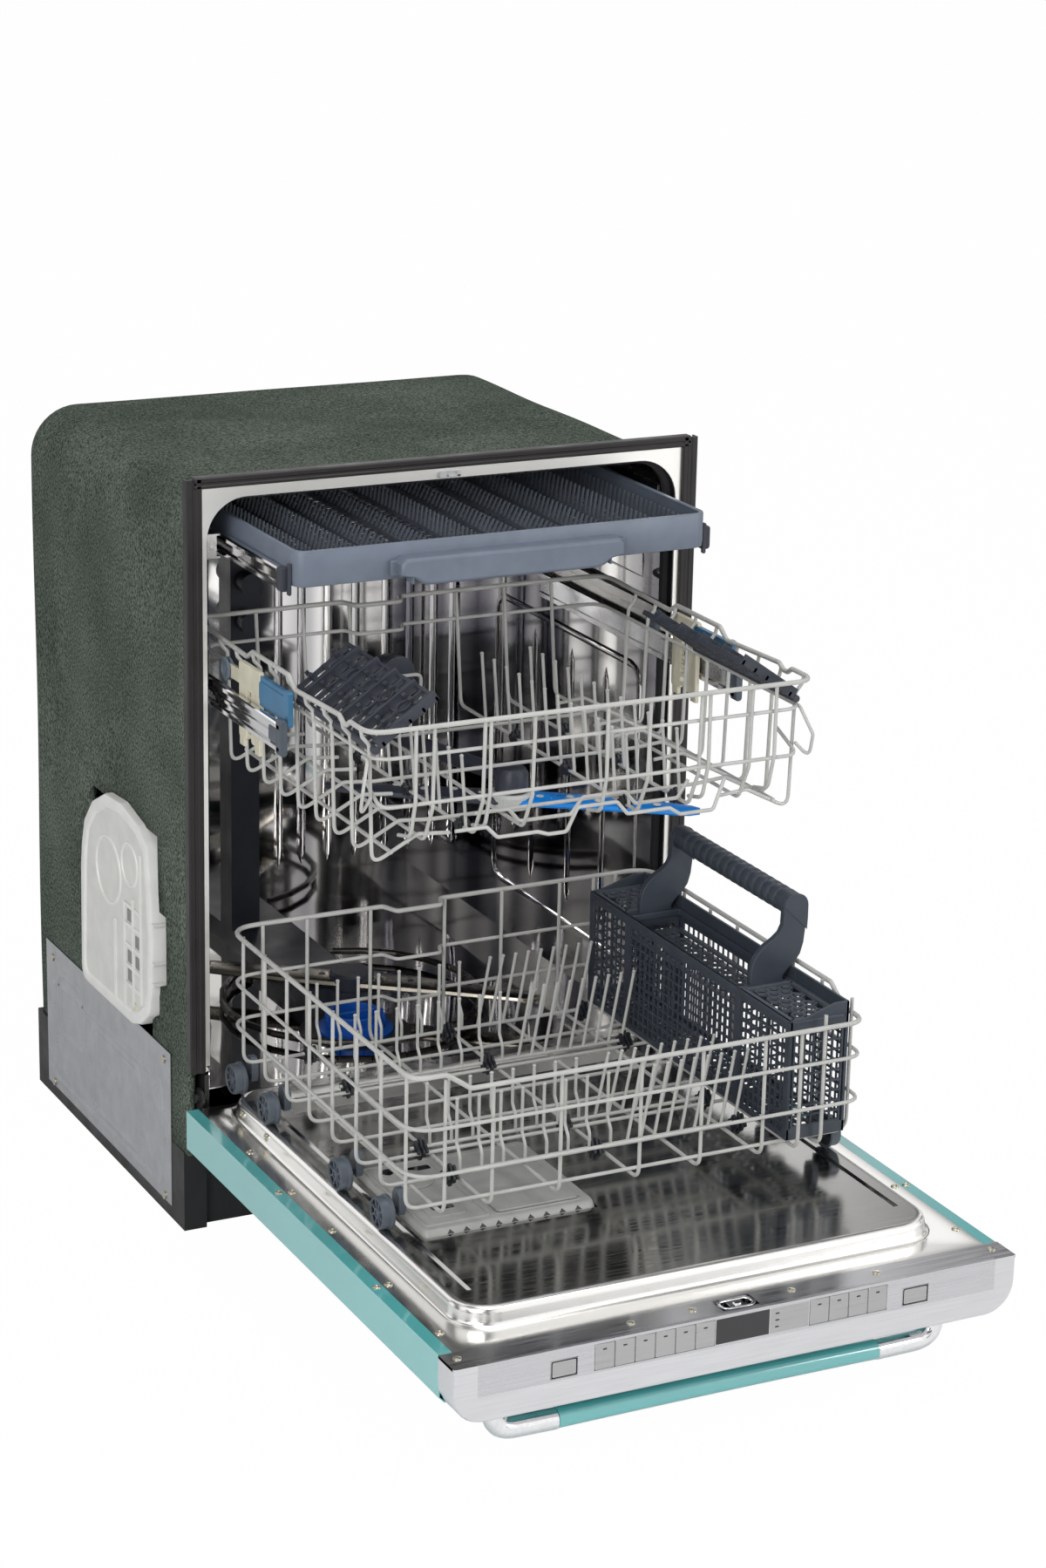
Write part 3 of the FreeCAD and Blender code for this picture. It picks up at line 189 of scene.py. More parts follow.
def steel_material(name, color, rough, brush=EVEN, scale=260.0, wave=0.0015):
    """Bare metal with brush marks along one axis and a slight wave."""
    made = Paint(name, color, rough, 1.0).tint(scale, 0.05, brush).gloss(scale, rough * 0.35, brush)
    if wave:
        made.relief(5.0, wave, 0.35, 2.0)
    return made.mat


def sheet_material(name, color, rough, metal, cloud, spread, grain, shine):
    """Plain sheet with clouded colour and uneven gloss."""
    return Paint(name, color, rough, metal).tint(cloud, spread).gloss(grain, shine).mat


def plastic_material(name, color, rough, grain=900.0, spread=0.08):
    """Moulded plastic with a fine grain."""
    made = Paint(name, color, rough).tint(40.0, spread).gloss(30.0, 0.08).relief(grain, 0.0002, 0.25)
    return made.set(Specular_IOR_Level=0.32).mat


def paint_material(name, color):
    """Glossy enamel under a clear coat."""
    made = Paint(name, color, 0.22).tint(6.0, 0.04).relief(520.0, 0.00008, 0.2)
    return made.set(Coat_Weight=1.0, Coat_Roughness=0.06, Coat_IOR=1.9).mat


def glass_material(name, color):
    """Dark smooth glass."""
    return Paint(name, color, 0.08).tint(60.0, 0.1).set(Coat_Weight=0.5).mat


STEELS = {
    "screw_steel": ((0.5, 0.47, 0.38), 0.3),
    "heater_steel": ((0.09, 0.085, 0.08), 0.35),
    "rail_steel": ((0.6, 0.59, 0.57), 0.22, (1, 0.05, 1)),
    "chrome": ((0.78, 0.78, 0.79), 0.1, EVEN, 260.0, 0.0003),
    # Painted shade: liner_steel is the door liner's steel made darker for its pan top and wheel tracks.
    "liner_steel": ((0.46, 0.455, 0.44), 0.15, (0.05, 1, 1), 300.0, 0.002),
    "console_chrome": ((0.66, 0.66, 0.68), 0.2, (0.04, 1, 1), 420.0, 0.0004),
    "strip_steel": ((0.56, 0.56, 0.58), 0.3, (0.03, 1, 1), 500.0, 0.0),
    "key_film": ((0.43, 0.43, 0.43), 0.38, (0.03, 1, 1), 500.0, 0.0),
}
SHEETS = {
    "galvanised": ((0.4, 0.41, 0.43), 0.36, 0.85, 36.0, 0.06, 60.0, 0.1),
    # Painted light: liner_edge and flange_steel are lighter copies of the same steel, for the liner's walls,
    # flange and sill and the tub's flange face.
    "liner_edge": ((0.82, 0.81, 0.79), 0.2, 1.0, 3.0, 0.03, 900.0, 0.03),
    "flange_steel": ((0.82, 0.81, 0.78), 0.4, 1.0, 3.0, 0.03, 900.0, 0.05),
    "arm_steel": ((0.36, 0.33, 0.28), 0.24, 1.0, 30.0, 0.05, 40.0, 0.05),
}
PLASTICS = {
    "base_black": ((0.017, 0.017, 0.018), 0.5),
    "trim_black": ((0.017, 0.015, 0.015), 0.42),
    "seal_rubber": ((0.02, 0.02, 0.022), 0.7),
    "pale_plastic": ((0.58, 0.58, 0.56), 0.42, 500.0, 0.05),
    "tank_edge": ((0.66, 0.66, 0.64), 0.36, 500.0, 0.04),
    "tank_pocket": ((0.2, 0.2, 0.19), 0.5),
    "strike_grey": ((0.42, 0.43, 0.44), 0.4),
    "conduit_grey": ((0.032, 0.036, 0.05), 0.38),
    "shelf_grey": ((0.034, 0.038, 0.05), 0.42),
    "sump_plastic": ((0.02, 0.02, 0.021), 0.4),
    "hinge_steel": ((0.02, 0.02, 0.02), 0.35),
    "blue_plastic": ((0.0, 0.19, 0.62), 0.32),
    "filter_blue": ((0.004, 0.075, 0.37), 0.4),
    "dispenser_grey": ((0.31, 0.31, 0.3), 0.36),
    "rack_coating": ((0.43, 0.43, 0.415), 0.28, 300.0, 0.06),
    "slate_plastic": ((0.125, 0.148, 0.19), 0.4),
    "wheel_slate": ((0.07, 0.083, 0.103), 0.4),
    "basket_slate": ((0.039, 0.047, 0.062), 0.42),
    "basket_lid": ((0.075, 0.086, 0.105), 0.45),
    "cream_plastic": ((0.56, 0.53, 0.42), 0.42),
    "lever_blue": ((0.045, 0.15, 0.27), 0.35),
    "roller_slate": ((0.12, 0.15, 0.18), 0.35),
    "clip_black": ((0.014, 0.016, 0.02), 0.4),
    "hub_grey": ((0.5, 0.51, 0.49), 0.4),
}
MATS = {
    "felt": felt_material(),
    "tub_steel": tub_material(),
    "teal_paint": paint_material("teal_paint", (0.09, 0.4, 0.405)),
    "window_black": glass_material("window_black", (0.006, 0.006, 0.008)),
}
for table, maker in ((STEELS, steel_material), (SHEETS, sheet_material), (PLASTICS, plastic_material)):
    for name, values in table.items():
        MATS[name] = maker(name, *values)

for name, obj in NODES.items():
    obj.data.materials.clear()
    obj.data.materials.append(MATS[SLOT_OF[name]])
    for poly in obj.data.polygons:
        poly.use_smooth = True
    obj.data.set_sharp_from_angle(angle=math.radians(28))


# Mesh helpers

def around(middle, half):
    return middle - half, middle + half


def flip(outline, side):
    """A flat outline, mirrored where the side is -1."""
    return [(side * a, b) for a, b in outline]


def lay(outline, axis, depth):
    """A flat outline set at a depth along an axis; it lies in the other two axes, in XYZ order."""
    place = "xyz".index(axis)
    return [(*spot[:place], depth, *spot[place:]) for spot in outline]


def spin(degrees, axis):
    return Matrix.Rotation(math.radians(degrees), 3, axis)


def arc(centre, radius, start, end, steps):
    """Points of a flat arc, angles in degrees."""
    spots = []
    for i in range(steps + 1):
        t = math.radians(start + (end - start) * i / steps)
        spots.append((centre[0] + radius * math.cos(t), centre[1] + radius * math.sin(t)))
    return spots


def circle(centre, radius, steps):
    return arc(centre, radius, 0, 360, steps)[:-1]


def round_rect(x0, x1, y0, y1, radius, steps=6):
    """The outline of a rectangle with round corners, anticlockwise from the low left corner."""
    r = min(radius, (x1 - x0) / 2, (y1 - y0) / 2)
    spots = arc((x0 + r, y0 + r), r, 180, 270, steps)
    spots += arc((x1 - r, y0 + r), r, 270, 360, steps)
    spots += arc((x1 - r, y1 - r), r, 0, 90, steps)
    return spots + arc((x0 + r, y1 - r), r, 90, 180, steps)


def grown(outline, out):
    """A closed flat outline, moved outwards along its own normals."""
    spots = []
    for i, here in enumerate(outline):
        run = (Vector(outline[(i + 1) % len(outline)]) - Vector(outline[i - 1])).normalized()
        spots.append((here[0] + run.y * out, here[1] - run.x * out))
    return spots


def round_path(points, bends, closed=False, steps=6):
    """A polyline whose corners are turned into arcs; bends is one radius or one for each corner."""
    spots = [Vector(p) for p in points]
    count = len(spots)
    path = []
    for i, here in enumerate(spots):
        if not closed and i in (0, count - 1):
            path.append(here)
            continue
        into = here - spots[i - 1]
        away = spots[(i + 1) % count] - here
        turn = into.angle(away)
        bend = bends[i] if isinstance(bends, (list, tuple)) else bends
        if turn < 0.02 or bend <= 0:
            path.append(here)
            continue
        reach = min(bend * math.tan(turn / 2), into.length * 0.49, away.length * 0.49)
        first = here - into.normalized() * reach
        last = here + away.normalized() * reach
        for k in range(steps + 1):
            t = k / steps
            path.append(first.lerp(here, t).lerp(here.lerp(last, t), t))
    return path


class Shape:
    """Gathers the faces of one piece, in millimetres with depths from the front plane."""

    def __init__(self):
        self.verts = []
        self.faces = []
        self.marks = []
        self.mark = 0

    def add(self, verts, faces):
        start = len(self.verts)
        self.verts += [tuple(v) for v in verts]
        self.faces += [tuple(start + i for i in face) for face in faces]
        self.marks += [self.mark] * len(faces)
        return self

    def paint(self, index):
        """Give the faces added from here on another of the piece's materials."""
        self.mark = index
        return self

    def loops(self, rings, closed=False, caps=True, seam=True):
        """Join rings of equal length into a skin; without a seam each ring stays open."""
        count = len(rings[0])
        verts = [v for ring in rings for v in ring]
        faces = []
        for i in range(len(rings) if closed else len(rings) - 1):
            a, b = i * count, ((i + 1) % len(rings)) * count
            for k in range(count if seam else count - 1):
                m = (k + 1) % count
                faces.append((a + k, a + m, b + m, b + k))
        if caps and not closed:
            faces.append(tuple(reversed(range(count))))
            faces.append(tuple(range((len(rings) - 1) * count, len(rings) * count)))
        return self.add(verts, faces)

    def box(self, x, y, z, turn=None, about=None):
        """A block between two values along each axis, turned about a point if asked."""
        spots = [Vector((a, b, c)) for c in z for b in y for a in x]
        if turn is not None:
            pivot = Vector(about)
            spots = [turn @ (s - pivot) + pivot for s in spots]
        faces = [(0, 2, 3, 1), (4, 5, 7, 6), (0, 1, 5, 4), (2, 6, 7, 3), (0, 4, 6, 2), (1, 3, 7, 5)]
        return self.add(spots, faces)

    def prism(self, outline, axis, low, high, inset=0.0):
        """An outline drawn out along an axis, with edges cut off by the inset."""
        if not inset:
            return self.loops([lay(outline, axis, low), lay(outline, axis, high)])
        middle = Vector([sum(p[k] for p in outline) / len(outline) for k in (0, 1)])
        small = []
        for p in outline:
            d = Vector(p) - middle
            small.append(middle + (d - d.normalized() * inset if d.length > inset else d))
        step = inset if high > low else -inset
        return self.loops([lay(small, axis, low), lay(outline, axis, low + step),
                           lay(outline, axis, high - step), lay(small, axis, high)])

    def tube(self, path, radius, sides, closed=False):
        """A round bar along a path."""
        spots = [Vector(p) for p in path]
        count = len(spots)
        rings = []
        side = None
        for i, here in enumerate(spots):
            before = spots[i - 1] if i or closed else here
            after = spots[(i + 1) % count] if i < count - 1 or closed else here
            run = (after - before).normalized()
            if side is None:
                side = run.orthogonal().normalized()
            side = (side - run * side.dot(run)).normalized()
            other = run.cross(side)
            rings.append([here + side * a + other * b for a, b in circle((0, 0), radius, sides)])
        if not closed:
            return self.loops(rings)
        first, last = rings[0], rings[-1]
        shift = min(range(sides), key=lambda k: (last[0] - first[k]).length)
        rings.append(first[shift:] + first[:shift])
        return self.loops(rings, caps=False)

    def wire(self, points, radius, bends, closed=False, sides=8):
        """A round bar along a path with bent corners."""
        return self.tube(round_path(points, bends, closed), radius, sides, closed)

    def turned(self, rows, centre, axis, steps):
        """A round body from (radius, height) rows along an axis through centre."""
        place = "xyz".index(axis)
        middle = [centre[k] for k in range(3) if k != place]
        return self.loops([lay(circle(middle, r, steps), axis, centre[place] + h) for r, h in rows])

    def rim(self, outline, section):
        """Sweep a closed (out, height) section round a closed level outline."""
        return self.loops([lay(grown(outline, out), "z", z) for out, z in section], closed=True)

    def piece(self, name, mats, body, node=None, slot=None, bevel=0.0, angle=35.0):
        """Make the object, let it ride on a body and stand for its CAD node."""
        mesh = bpy.data.meshes.new(name)
        mesh.from_pydata([P(*v) for v in self.verts], [], self.faces)
        mesh.validate()
        work = bmesh.new()
        work.from_mesh(mesh)
        bmesh.ops.recalc_face_normals(work, faces=work.faces)
        work.to_mesh(mesh)
        work.free()
        for mat in [mats] if isinstance(mats, str) else mats:
            mesh.materials.append(MATS[mat])
        for poly, mark in zip(mesh.polygons, self.marks):
            poly.material_index = mark
            poly.use_smooth = True
        mesh.set_sharp_from_angle(angle=math.radians(angle))
        obj = bpy.data.objects.new(name, mesh)
        SCENE.collection.objects.link(obj)
        if bevel:
            mod = obj.modifiers.new("edges", "BEVEL")
            mod.width = bevel / 1000.0
            mod.segments = 2
            mod.limit_method = "ANGLE"
            mod.angle_limit = math.radians(40)
        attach(obj, body)
        if node:
            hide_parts(node)
        return obj


# Cutlery tray

def cutlery_tray():
    """A slate tray with rows of combs, a laced floor and a stepped pull plate; the combs and the floor are
    darker copies of the slate, as painted shade.
    """
    half, front, rear, base = 234, -140, 300, 750
    floor = Shape()
    for x in range(-228, 229, 12):
        floor.box(around(x, 1.2), (front + 6, rear - 6), (base + 0.4, base + 3))
    for y in range(-118, 291, 17):
        floor.box(around(0, half - 5), around(y, 1.8), (base + 0.2, base + 3.4))
    # Painted shade: the floor is in near-black conduit_grey, darker than the bowl's slate.
    floor.piece("tray_floor", "conduit_grey", "tray", slot="slate_plastic")

    def corners(x, y, wide, deep):
        return [(x - wide, y - deep), (x + wide, y - deep), (x + wide, y + deep), (x - wide, y + deep)]
    combs = Shape()
    for x, tall, lean in ((-205, 24, 4), (-158, 21, 6), (-110, 15, 8), (-62, 13, 8), (-14, 20, 3),
                          (36, 14, 8), (84, 14, 8), (128, 18, 6), (172, 26, 4), (212, 24, 3)):
        combs.box(around(x, 1.4), (front + 18, rear - 8), (base + 2, base + 7))
        for y in range(-118, 290, 10):
            foot, tip = corners(x, y, 1.5, 2.2), corners(x + lean, y, 0.9, 1.4)
            combs.loops([lay(foot, "z", base + 6), lay(tip, "z", base + 7 + tall)])
    # Painted shade: the combs are in the darker basket_lid slate.
    combs.piece("tray_combs", "basket_lid", "tray", slot="slate_plastic")
    wall = [(0, 36.4), (-0.6, 37.4), (-4.4, 37.4), (-5, 36.4), (-3.4, 34), (-3.4, 2.6), (-8, 2.6), (-8, 0),
            (-3, 0), (-0.8, 1), (0, 6)]
    outline = round_rect(-half, half, front, rear, 15)
    bowl = Shape().rim(outline, [(out, base + rise) for out, rise in wall])
    bowl.piece("tray_bowl", "slate_plastic", "tray", "cutlery_tray")
    pull = Shape()
    face = [(-127, 769), (-127, 757), (-113, 754), (-105, 747.5), (-97, 745), (97, 745), (105, 747.5),
            (113, 754), (127, 757), (127, 769), (121, 775), (-121, 775)]
    pull_half, middle, root = 127, 760, front + 1
    rings = []
    for depth, shrink in ((root, 0), (-150, 0), (-156.5, 0.5), (-159, 3)):
        wide, tall = 1 - shrink / pull_half, 1 - shrink / 15
        rings.append([(x * wide, depth, middle + (z - middle) * tall) for x, z in face])
    pull.loops(rings)
    for side in SIDES:
        pull.box(sorted((side * 124, side * 133)), (-146, root), (755, 771))
    for x in range(-112, 113, 28):
        pull.box(around(x, 1), (-156, root), (747, 757))
    pull.piece("tray_pull", "slate_plastic", "tray", slot="slate_plastic", bevel=1.2)


def tray_rails():
    """Chrome runners with dark end caps, in outer runners on the tub's walls."""
    runners, caps, outer = Shape(), Shape(), Shape()
    channel = [(235, 746), (235, 751), (237.6, 751), (237.6, 762), (235, 762), (235, 767), (236.6, 768),
               (242.6, 768), (244.6, 766.5), (244.6, 763), (241, 761.5), (241, 752.5), (244.6, 751),
               (244.6, 747.5), (242.6, 746)]
    holder = [(246, 744), (246, 746), (250, 746), (250, 768), (246, 768), (246, 770), (264, 770), (264, 744)]
    for side in SIDES:
        runners.prism(flip(channel, side), "y", -122, 300)
        caps.prism(flip(round_rect(234.2, 245, 744.5, 769.5, 3, 3), side), "y", -126, -116, 0.6)
        caps.prism(flip(round_rect(234, 238, 741, 774, 2, 3), side), "y", -130, -126)
        outer.prism(flip(holder, side), "y", 30, 440)
    runners.piece("tray_runners", "chrome", "tray", "tray_rails")
    caps.piece("tray_runner_caps", "shelf_grey", "tray", slot="slate_plastic", bevel=0.6)
    outer.piece("tray_outer_runners", "rail_steel", "cabinet", slot="rail_steel")


# Silverware basket

def lattice(low, high, step, thick, place):
    """Crossed bars over a flat field; place turns a pair of spans along the field into a box."""
    for axis in (0, 1):
        count = max(round((high[axis] - low[axis]) / step), 1)
        for k in range(count + 1):
            at = low[axis] + thick + (high[axis] - low[axis] - 2 * thick) * k / count
            spans = [(low[0], high[0]), (low[1], high[1])]
            spans[axis] = around(at, thick)
            place(axis, *spans)


def honeycomb(shape, xs, ys, low, high):
    """A plate pierced by staggered six-sided holes: a rim round each hole and a frame round them all."""
    radius, edge = 6.8, 2.6
    outer, inner = radius * 1.16, radius * 0.95
    wide, deep = radius * 2.05, radius * 1.8
    rows = int((ys[1] - ys[0] - 2) / deep)
    cols = int((xs[1] - xs[0] - 2) / wide)
    for i in range(rows):
        for k in range(cols - i % 2):
            x = sum(xs) / 2 + (k - (cols - 1 - i % 2) / 2) * wide
            y = sum(ys) / 2 + (i - (rows - 1) / 2) * deep
            steps = ((outer, low), (outer, high), (inner, high), (inner, low))
            shape.loops([lay(arc((x, y), r, 30, 390, 6)[:-1], "z", z) for r, z in steps], closed=True)
    for x in xs:
        shape.box(around(x, edge), ys, (low, high + 0.3))
    for y in ys:
        shape.box(xs, around(y, edge), (low, high + 0.3))


def basket():
    """Lattice walls in three bays, a higher wall on the right, two pierced lids and a pierced tray."""
    x0, x1, y0, y1, z0, left, right = 172.0, 240.0, -452.0, -16.5, 209.6, 338.0, 351.0
    wall, left_band, right_band = 2.8, 9.0, 26.0
    mesh, bar, foot = 10.8, 1.05, 4
    splits = (y0, -345.0, -105.0, y1)
    bays = list(zip(splits, splits[1:]))
    shape = Shape()

    def upright(x):
        return lambda axis, a, b: shape.box(around(x, 0.8 + 0.2 * axis), a, b)

    def across(y):
        return lambda axis, a, b: shape.box(a, around(y, 0.8 + 0.2 * axis), b)

    def level(axis, a, b):
        return shape.box(a, b, (z0 + 0.1 * axis, z0 + 2.2 + 0.1 * axis))
    for a, b in bays:
        lattice((a + 5, z0 + foot), (b - 5, left - left_band), mesh, bar, upright(x0 + wall / 2))
        lattice((a + 5, z0 + foot), (b - 5, right - right_band), mesh, bar, upright(x1 - wall / 2))
    for y in (y0 + wall / 2, splits[1], splits[2], y1 - wall / 2):
        lattice((x0 + 5, z0 + 12), (x1 - 5, left - 14), mesh, bar, across(y))
    lattice((x0 + 1, y0 + 1), (x1 - 1, y1 - 1), 11.6, 1.3, level)
    shape.piece("basket_lattice", "basket_slate", "lower_rack", "silverware_basket")
    edges = Shape()
    for x, top, band in ((x0, left, left_band), (x1 - wall, right, right_band)):
        edges.box((x, x + wall), (y0, y1), (top - band, top))
        edges.box((x, x + wall), (y0, y1), (z0, z0 + 4.5))
        for y in splits:
            near = min(max(y - 5.0, y0), y1 - 10)
            edges.box((x - 0.2, x + 3.0), (near, near + 10), (z0, top - 1))
    plain = [(x0, left - 14), (x1, left - 14), (x1, left), (x0, left)]
    sloped = plain[:2] + [(x1, right), (x1 - 16, right), (x0 + 14, left + 1), (x0, left)]
    for y in splits:
        near = min(max(y - wall / 2, y0), y1 - wall)
        edges.prism(sloped if y in (y0, y1) else plain, "y", near, near + wall)
        edges.box((x0, x1), (near, near + wall), (z0, z0 + 12))
    collar = [(0.6, -7), (1.0, -1), (0.4, 0), (-2.6, 0), (-3, -2), (-2.6, -7)]
    for a, b in bays:
        outline = round_rect(x0 + 0.6, x1 - 3.4, a + 0.6, b - 0.6, 4, 4)
        edges.rim(outline, [(out, left + rise) for out, rise in collar])
    edges.piece("basket_frame", "basket_slate", "lower_rack", slot="slate_plastic", bevel=0.4)
    lids = Shape()
    for bay, near, far, low, high in ((0, 6, 5, 4.0, 0.6), (2, 15, 6, 4.0, 0.6), (1, 16, 5, 24.0, 21.0)):
        ys = (bays[bay][0] + near, bays[bay][1] - far)
        honeycomb(lids, (x0 + 5, x1 - 7), ys, left - low, left - high)
    lids.piece("basket_lids", "basket_lid", "lower_rack", slot="slate_plastic")


def basket_handle():
    """Broad S-shaped uprights and a thick grip with finger ribs."""
    yoke = Shape()
    middle = 238
    edge = [(188, 316), (188, 352), (190, 361), (195, 370), (203, 378), (213, 384), (220, 390), (224, 398),
            (224.5, 410)]
    edge += arc((middle, 417), 13.5, 180, 0, 10)
    edge += [(251.5, 402), (251, 390), (249.5, 376), (246, 364), (240, 356), (232, 349), (226, 342),
             (226, 316)]
    for y in (-339.5, -99.5):
        yoke.prism(edge, "y", *around(y, 3.9), 0.9)
        yoke.prism([(x + 1.5 if x > middle else x, z) for x, z in edge[9:22]], "y", y - 4.6, y - 3.4)
    yoke.piece("basket_yoke", "basket_slate", "lower_rack", slot="slate_plastic", bevel=0.6)
    rows = [(4, -343.6), (12.4, -343.6), (12.8, -338)]
    for k in range(15):
        y = -326.0 + 14.6 * k
        rows += [(13, y - 5.4), (13.2, y), (12.8, y + 4.4), (11.5, y + 5.4), (11.5, y + 7.2)]
    rows += [(13, -104), (12.4, -95.4), (4, -95.4)]
    grip = Shape().turned(rows, (middle, 0, 417.6), "y", 24)
    grip.piece("basket_grip", "basket_slate", "lower_rack", "basket_handle")


# Wheels

AXLES, AXLE_HEIGHT = (-26, -115, -300, -402), 188


def wheels():
    """Eight-spoked wheels with a hub, a near-black web that is painted shade in the hollow behind the spokes,
    and a wider inner flange, in pairs on one axle line.
    """
    tread = [(14.2, 2.2), (17.2, 0.2), (17.7, 1), (17.7, 3.4), (16.4, 4.6), (16.4, 12), (15.6, 13.6),
             (14.4, 13.8), (13.8, 12.6)]
    hub = [(3.1, 0), (6.2, 0), (6.2, 11), (5.4, 13.4), (4.4, 14), (3.1, 14)]
    web = [(6, 2.4), (14.4, 2.4), (14.4, 3.2), (13.7, 12.2), (13.3, 12.2), (13.3, 3.2), (6, 3.2)]
    z = AXLE_HEIGHT
    for number, y in enumerate(AXLES, start=1):
        shape = Shape()
        for side in SIDES:
            x = side * 246
            shape.paint(0)
            for section, steps in ((tread, 32), (hub, 24)):
                rings = [lay(circle((y, z), r, steps), "x", x + side * h) for r, h in section]
                shape.loops(rings, closed=True)
            for k in range(8):
                xs = sorted((x + side * 3, x + side * 12.6))
                shape.box(xs, (y + 5.4, y + 14.6), around(z, 1), spin(45 * k + 20, "X"), (x, y, z))
            # Painted shade: the web behind the spokes is near-black clip_black.
            shape.paint(1).turned([(r, side * h) for r, h in web], (x, y, z), "x", 24)
        pair = f"wheel_pair_{number}"
        shape.piece(f"wheels_{number}", ["wheel_slate", "clip_black"], pair, pair, bevel=0.3)


# Cabinet

TANK_MIDDLE = (205.0, 315.0)
TANK = [(154, 193.5), (324, 193.5), (322, 329), (317, 359), (307, 388), (278, 417), (235, 437), (181, 441),
        (128, 431), (102, 414), (93, 367), (87, 310), (91, 250), (100, 222), (127, 202)]


def on_tank(y, z):
    """Whether a point of the left side lies within the tank's outline, grown about its middle."""
    grow = 1.06
    cy, cz = TANK_MIDDLE
    y, z = cy + (y - cy) / grow, cz + (z - cz) / grow
    inside = False
    for (y0, z0), (y1, z1) in zip(TANK, TANK[1:] + TANK[:1]):
        if (z0 > z) != (z1 > z) and y < (y1 - y0) * (z - z0) / (z1 - z0) + y0:
            inside = not inside
    return inside


def sound_blanket():
    """A felt jacket over the tub: rolled top edges, a soft wave and a cut-out round the tank."""
    half, top, low, radius = 295.4, 820.4, 92.0, 55.0
    front, rear, soft = 8.0, 499.0, 26.0
    runs, rows, turns = 16, 22, 4
    swell, inset, skirt, left_wall = 0.9, 0.6, 300, -280
    outline = [(-half, low + (top - radius - low) * k / runs) for k in range(runs + 1)]
    outline += arc((-half + radius, top - radius), radius, 180, 90, 10)[1:]
    left = len(outline)
    outline += [(-half + radius + 2 * (half - radius) * k / runs, top) for k in range(1, runs)]
    outline += flip(reversed(outline[:left]), -1)
    grid = []
    for i in range(rows + turns + 1):
        t = math.radians(90.0 * max(i - rows, 0) / turns)
        y = front + (rear - soft - front) * min(i / rows, 1) + soft * math.sin(t)
        line = []
        for x, z in outline:
            wave = swell * math.sin(x * 0.021 + y * 0.017) * math.sin(z * 0.013 + y * 0.01)
            step = soft * (1 - math.cos(t)) + inset - wave
            line.append((x * (1 - step / half), y, z - step if z > skirt else z))
        grid.append(line)
    shape = Shape().loops(grid, caps=False, seam=False)

    def covers_tank(face):
        x, y, z = (sum(shape.verts[i][k] for i in face) / len(face) for k in range(3))
        return x < left_wall and on_tank(y, z)
    shape.faces = [face for face in shape.faces if not covers_tank(face)]
    count = len(shape.verts)
    shape.faces.append(tuple(range(count - len(outline), count)))
    shape.marks = [0] * len(shape.faces)
    obj = shape.piece("felt_jacket", "felt", "cabinet", "sound_blanket", angle=180)
    thick = obj.modifiers.new("felt", "SOLIDIFY")
    thick.thickness = 0.008
    thick.offset = -1.0


def tank():
    """A pale blow-moulded tank: a rolled front edge, a sunk field, ladder ribs and a valve port."""
    cy, cz = TANK_MIDDLE
    short = 0.92
    skin = -301
    outline = [(0, cy + (y - cy) * (short if y > cy else 1.0), z) for y, z in TANK]
    path = round_path(outline, 16, closed=True, steps=4)

    def ring(x, shrink):
        spots = []
        for p in path:
            d = Vector((p.y - cy, p.z - cz))
            d *= (d.length - shrink) / d.length
            spots.append((x, cy + d.x, cz + d.y))
        return spots
    edge = ((-276, 0), (-300.6, 0), (-303.2, 1.2), (-304.2, 3.6), (-304.2, 13), (-301.8, 16))
    field = ((-301.8, 16), (-301.4, 60), (-301.4, 90))
    shape = Shape()
    shape.paint(1).loops([ring(*step) for step in edge], caps=False)
    shape.paint(0).loops([ring(*step) for step in field], caps=False)
    shape.add(ring(*field[-1]), [tuple(range(len(path)))])
    shape.paint(1)
    for y, z0, z1, wide in ((126, 224, 398, 2.4), (150, 214, 340, 2.2), (176, 206, 330, 2.2),
                            (206, 204, 300, 3.0)):
        shape.prism(round_rect(y - wide, y + wide, z0, z1, wide, 4), "x", skin, -303.4, 0.6)
    for z in (236, 258, 282, 306, 328):
        shape.prism(round_rect(126, 178, z - 2, z + 2, 1.8, 3), "x", skin, -303.2, 0.5)
    for y, z, radius in ((226, 350, 38), (160, 376, 24)):
        steps = ((2.2, -301.2), (1.2, -303.0), (-1.2, -303.0), (-2.2, -301.2))
        shape.loops([lay(circle((y, z), radius + out, 28), "x", x) for out, x in steps], caps=False)
    for z in (262, 286, 330, 372, 404):
        y = 86 + max(z - 330, 0) * 0.25
        shape.box((-303.8, -286), (y - 1.4, y + 8), around(z, 1.6))
    shape.paint(2)
    for y, z in ((139, 262), (139, 286), (163, 240), (163, 262), (163, 310)):
        shape.prism(round_rect(y - 6, y + 6, z, z + 14, 1.5, 3), "x", -301.2, -301.9)
    shape.paint(3).prism(round_rect(141, 153, 204, 220, 4, 4), "x", skin, -303)
    shape.turned([(4.4, 0), (4.4, -1.6), (0.4, -1.8)], (-301.6, 147, 200), "x", 16)
    mats = ["pale_plastic", "tank_edge", "tank_pocket", "cream_plastic"]
    shape.piece("tank_shell", mats, "cabinet", "air_break_tank", bevel=0.4)


def side_panels():
    """Galvanised lower panels with pressed rounded frames."""
    inner, outer = 296.05, 296.9
    bead = ((5, 0), (1.4, 1.5), (-1.4, 1.5), (-5, 0))
    shape = Shape()
    for side in SIDES:
        shape.box(sorted((side * inner, side * outer)), (55, 455), (15, 193))
        for field in ((82, 430, 28, 150), (150, 300, 40, 140), (330, 410, 92, 166)):
            outline = round_rect(*field, 12, 5)
            rings = [lay(grown(outline, out), "x", side * (outer + lift)) for out, lift in bead]
            shape.loops(rings, caps=False)
    shape.piece("panel_sheets", "galvanised", "cabinet", "side_panels")


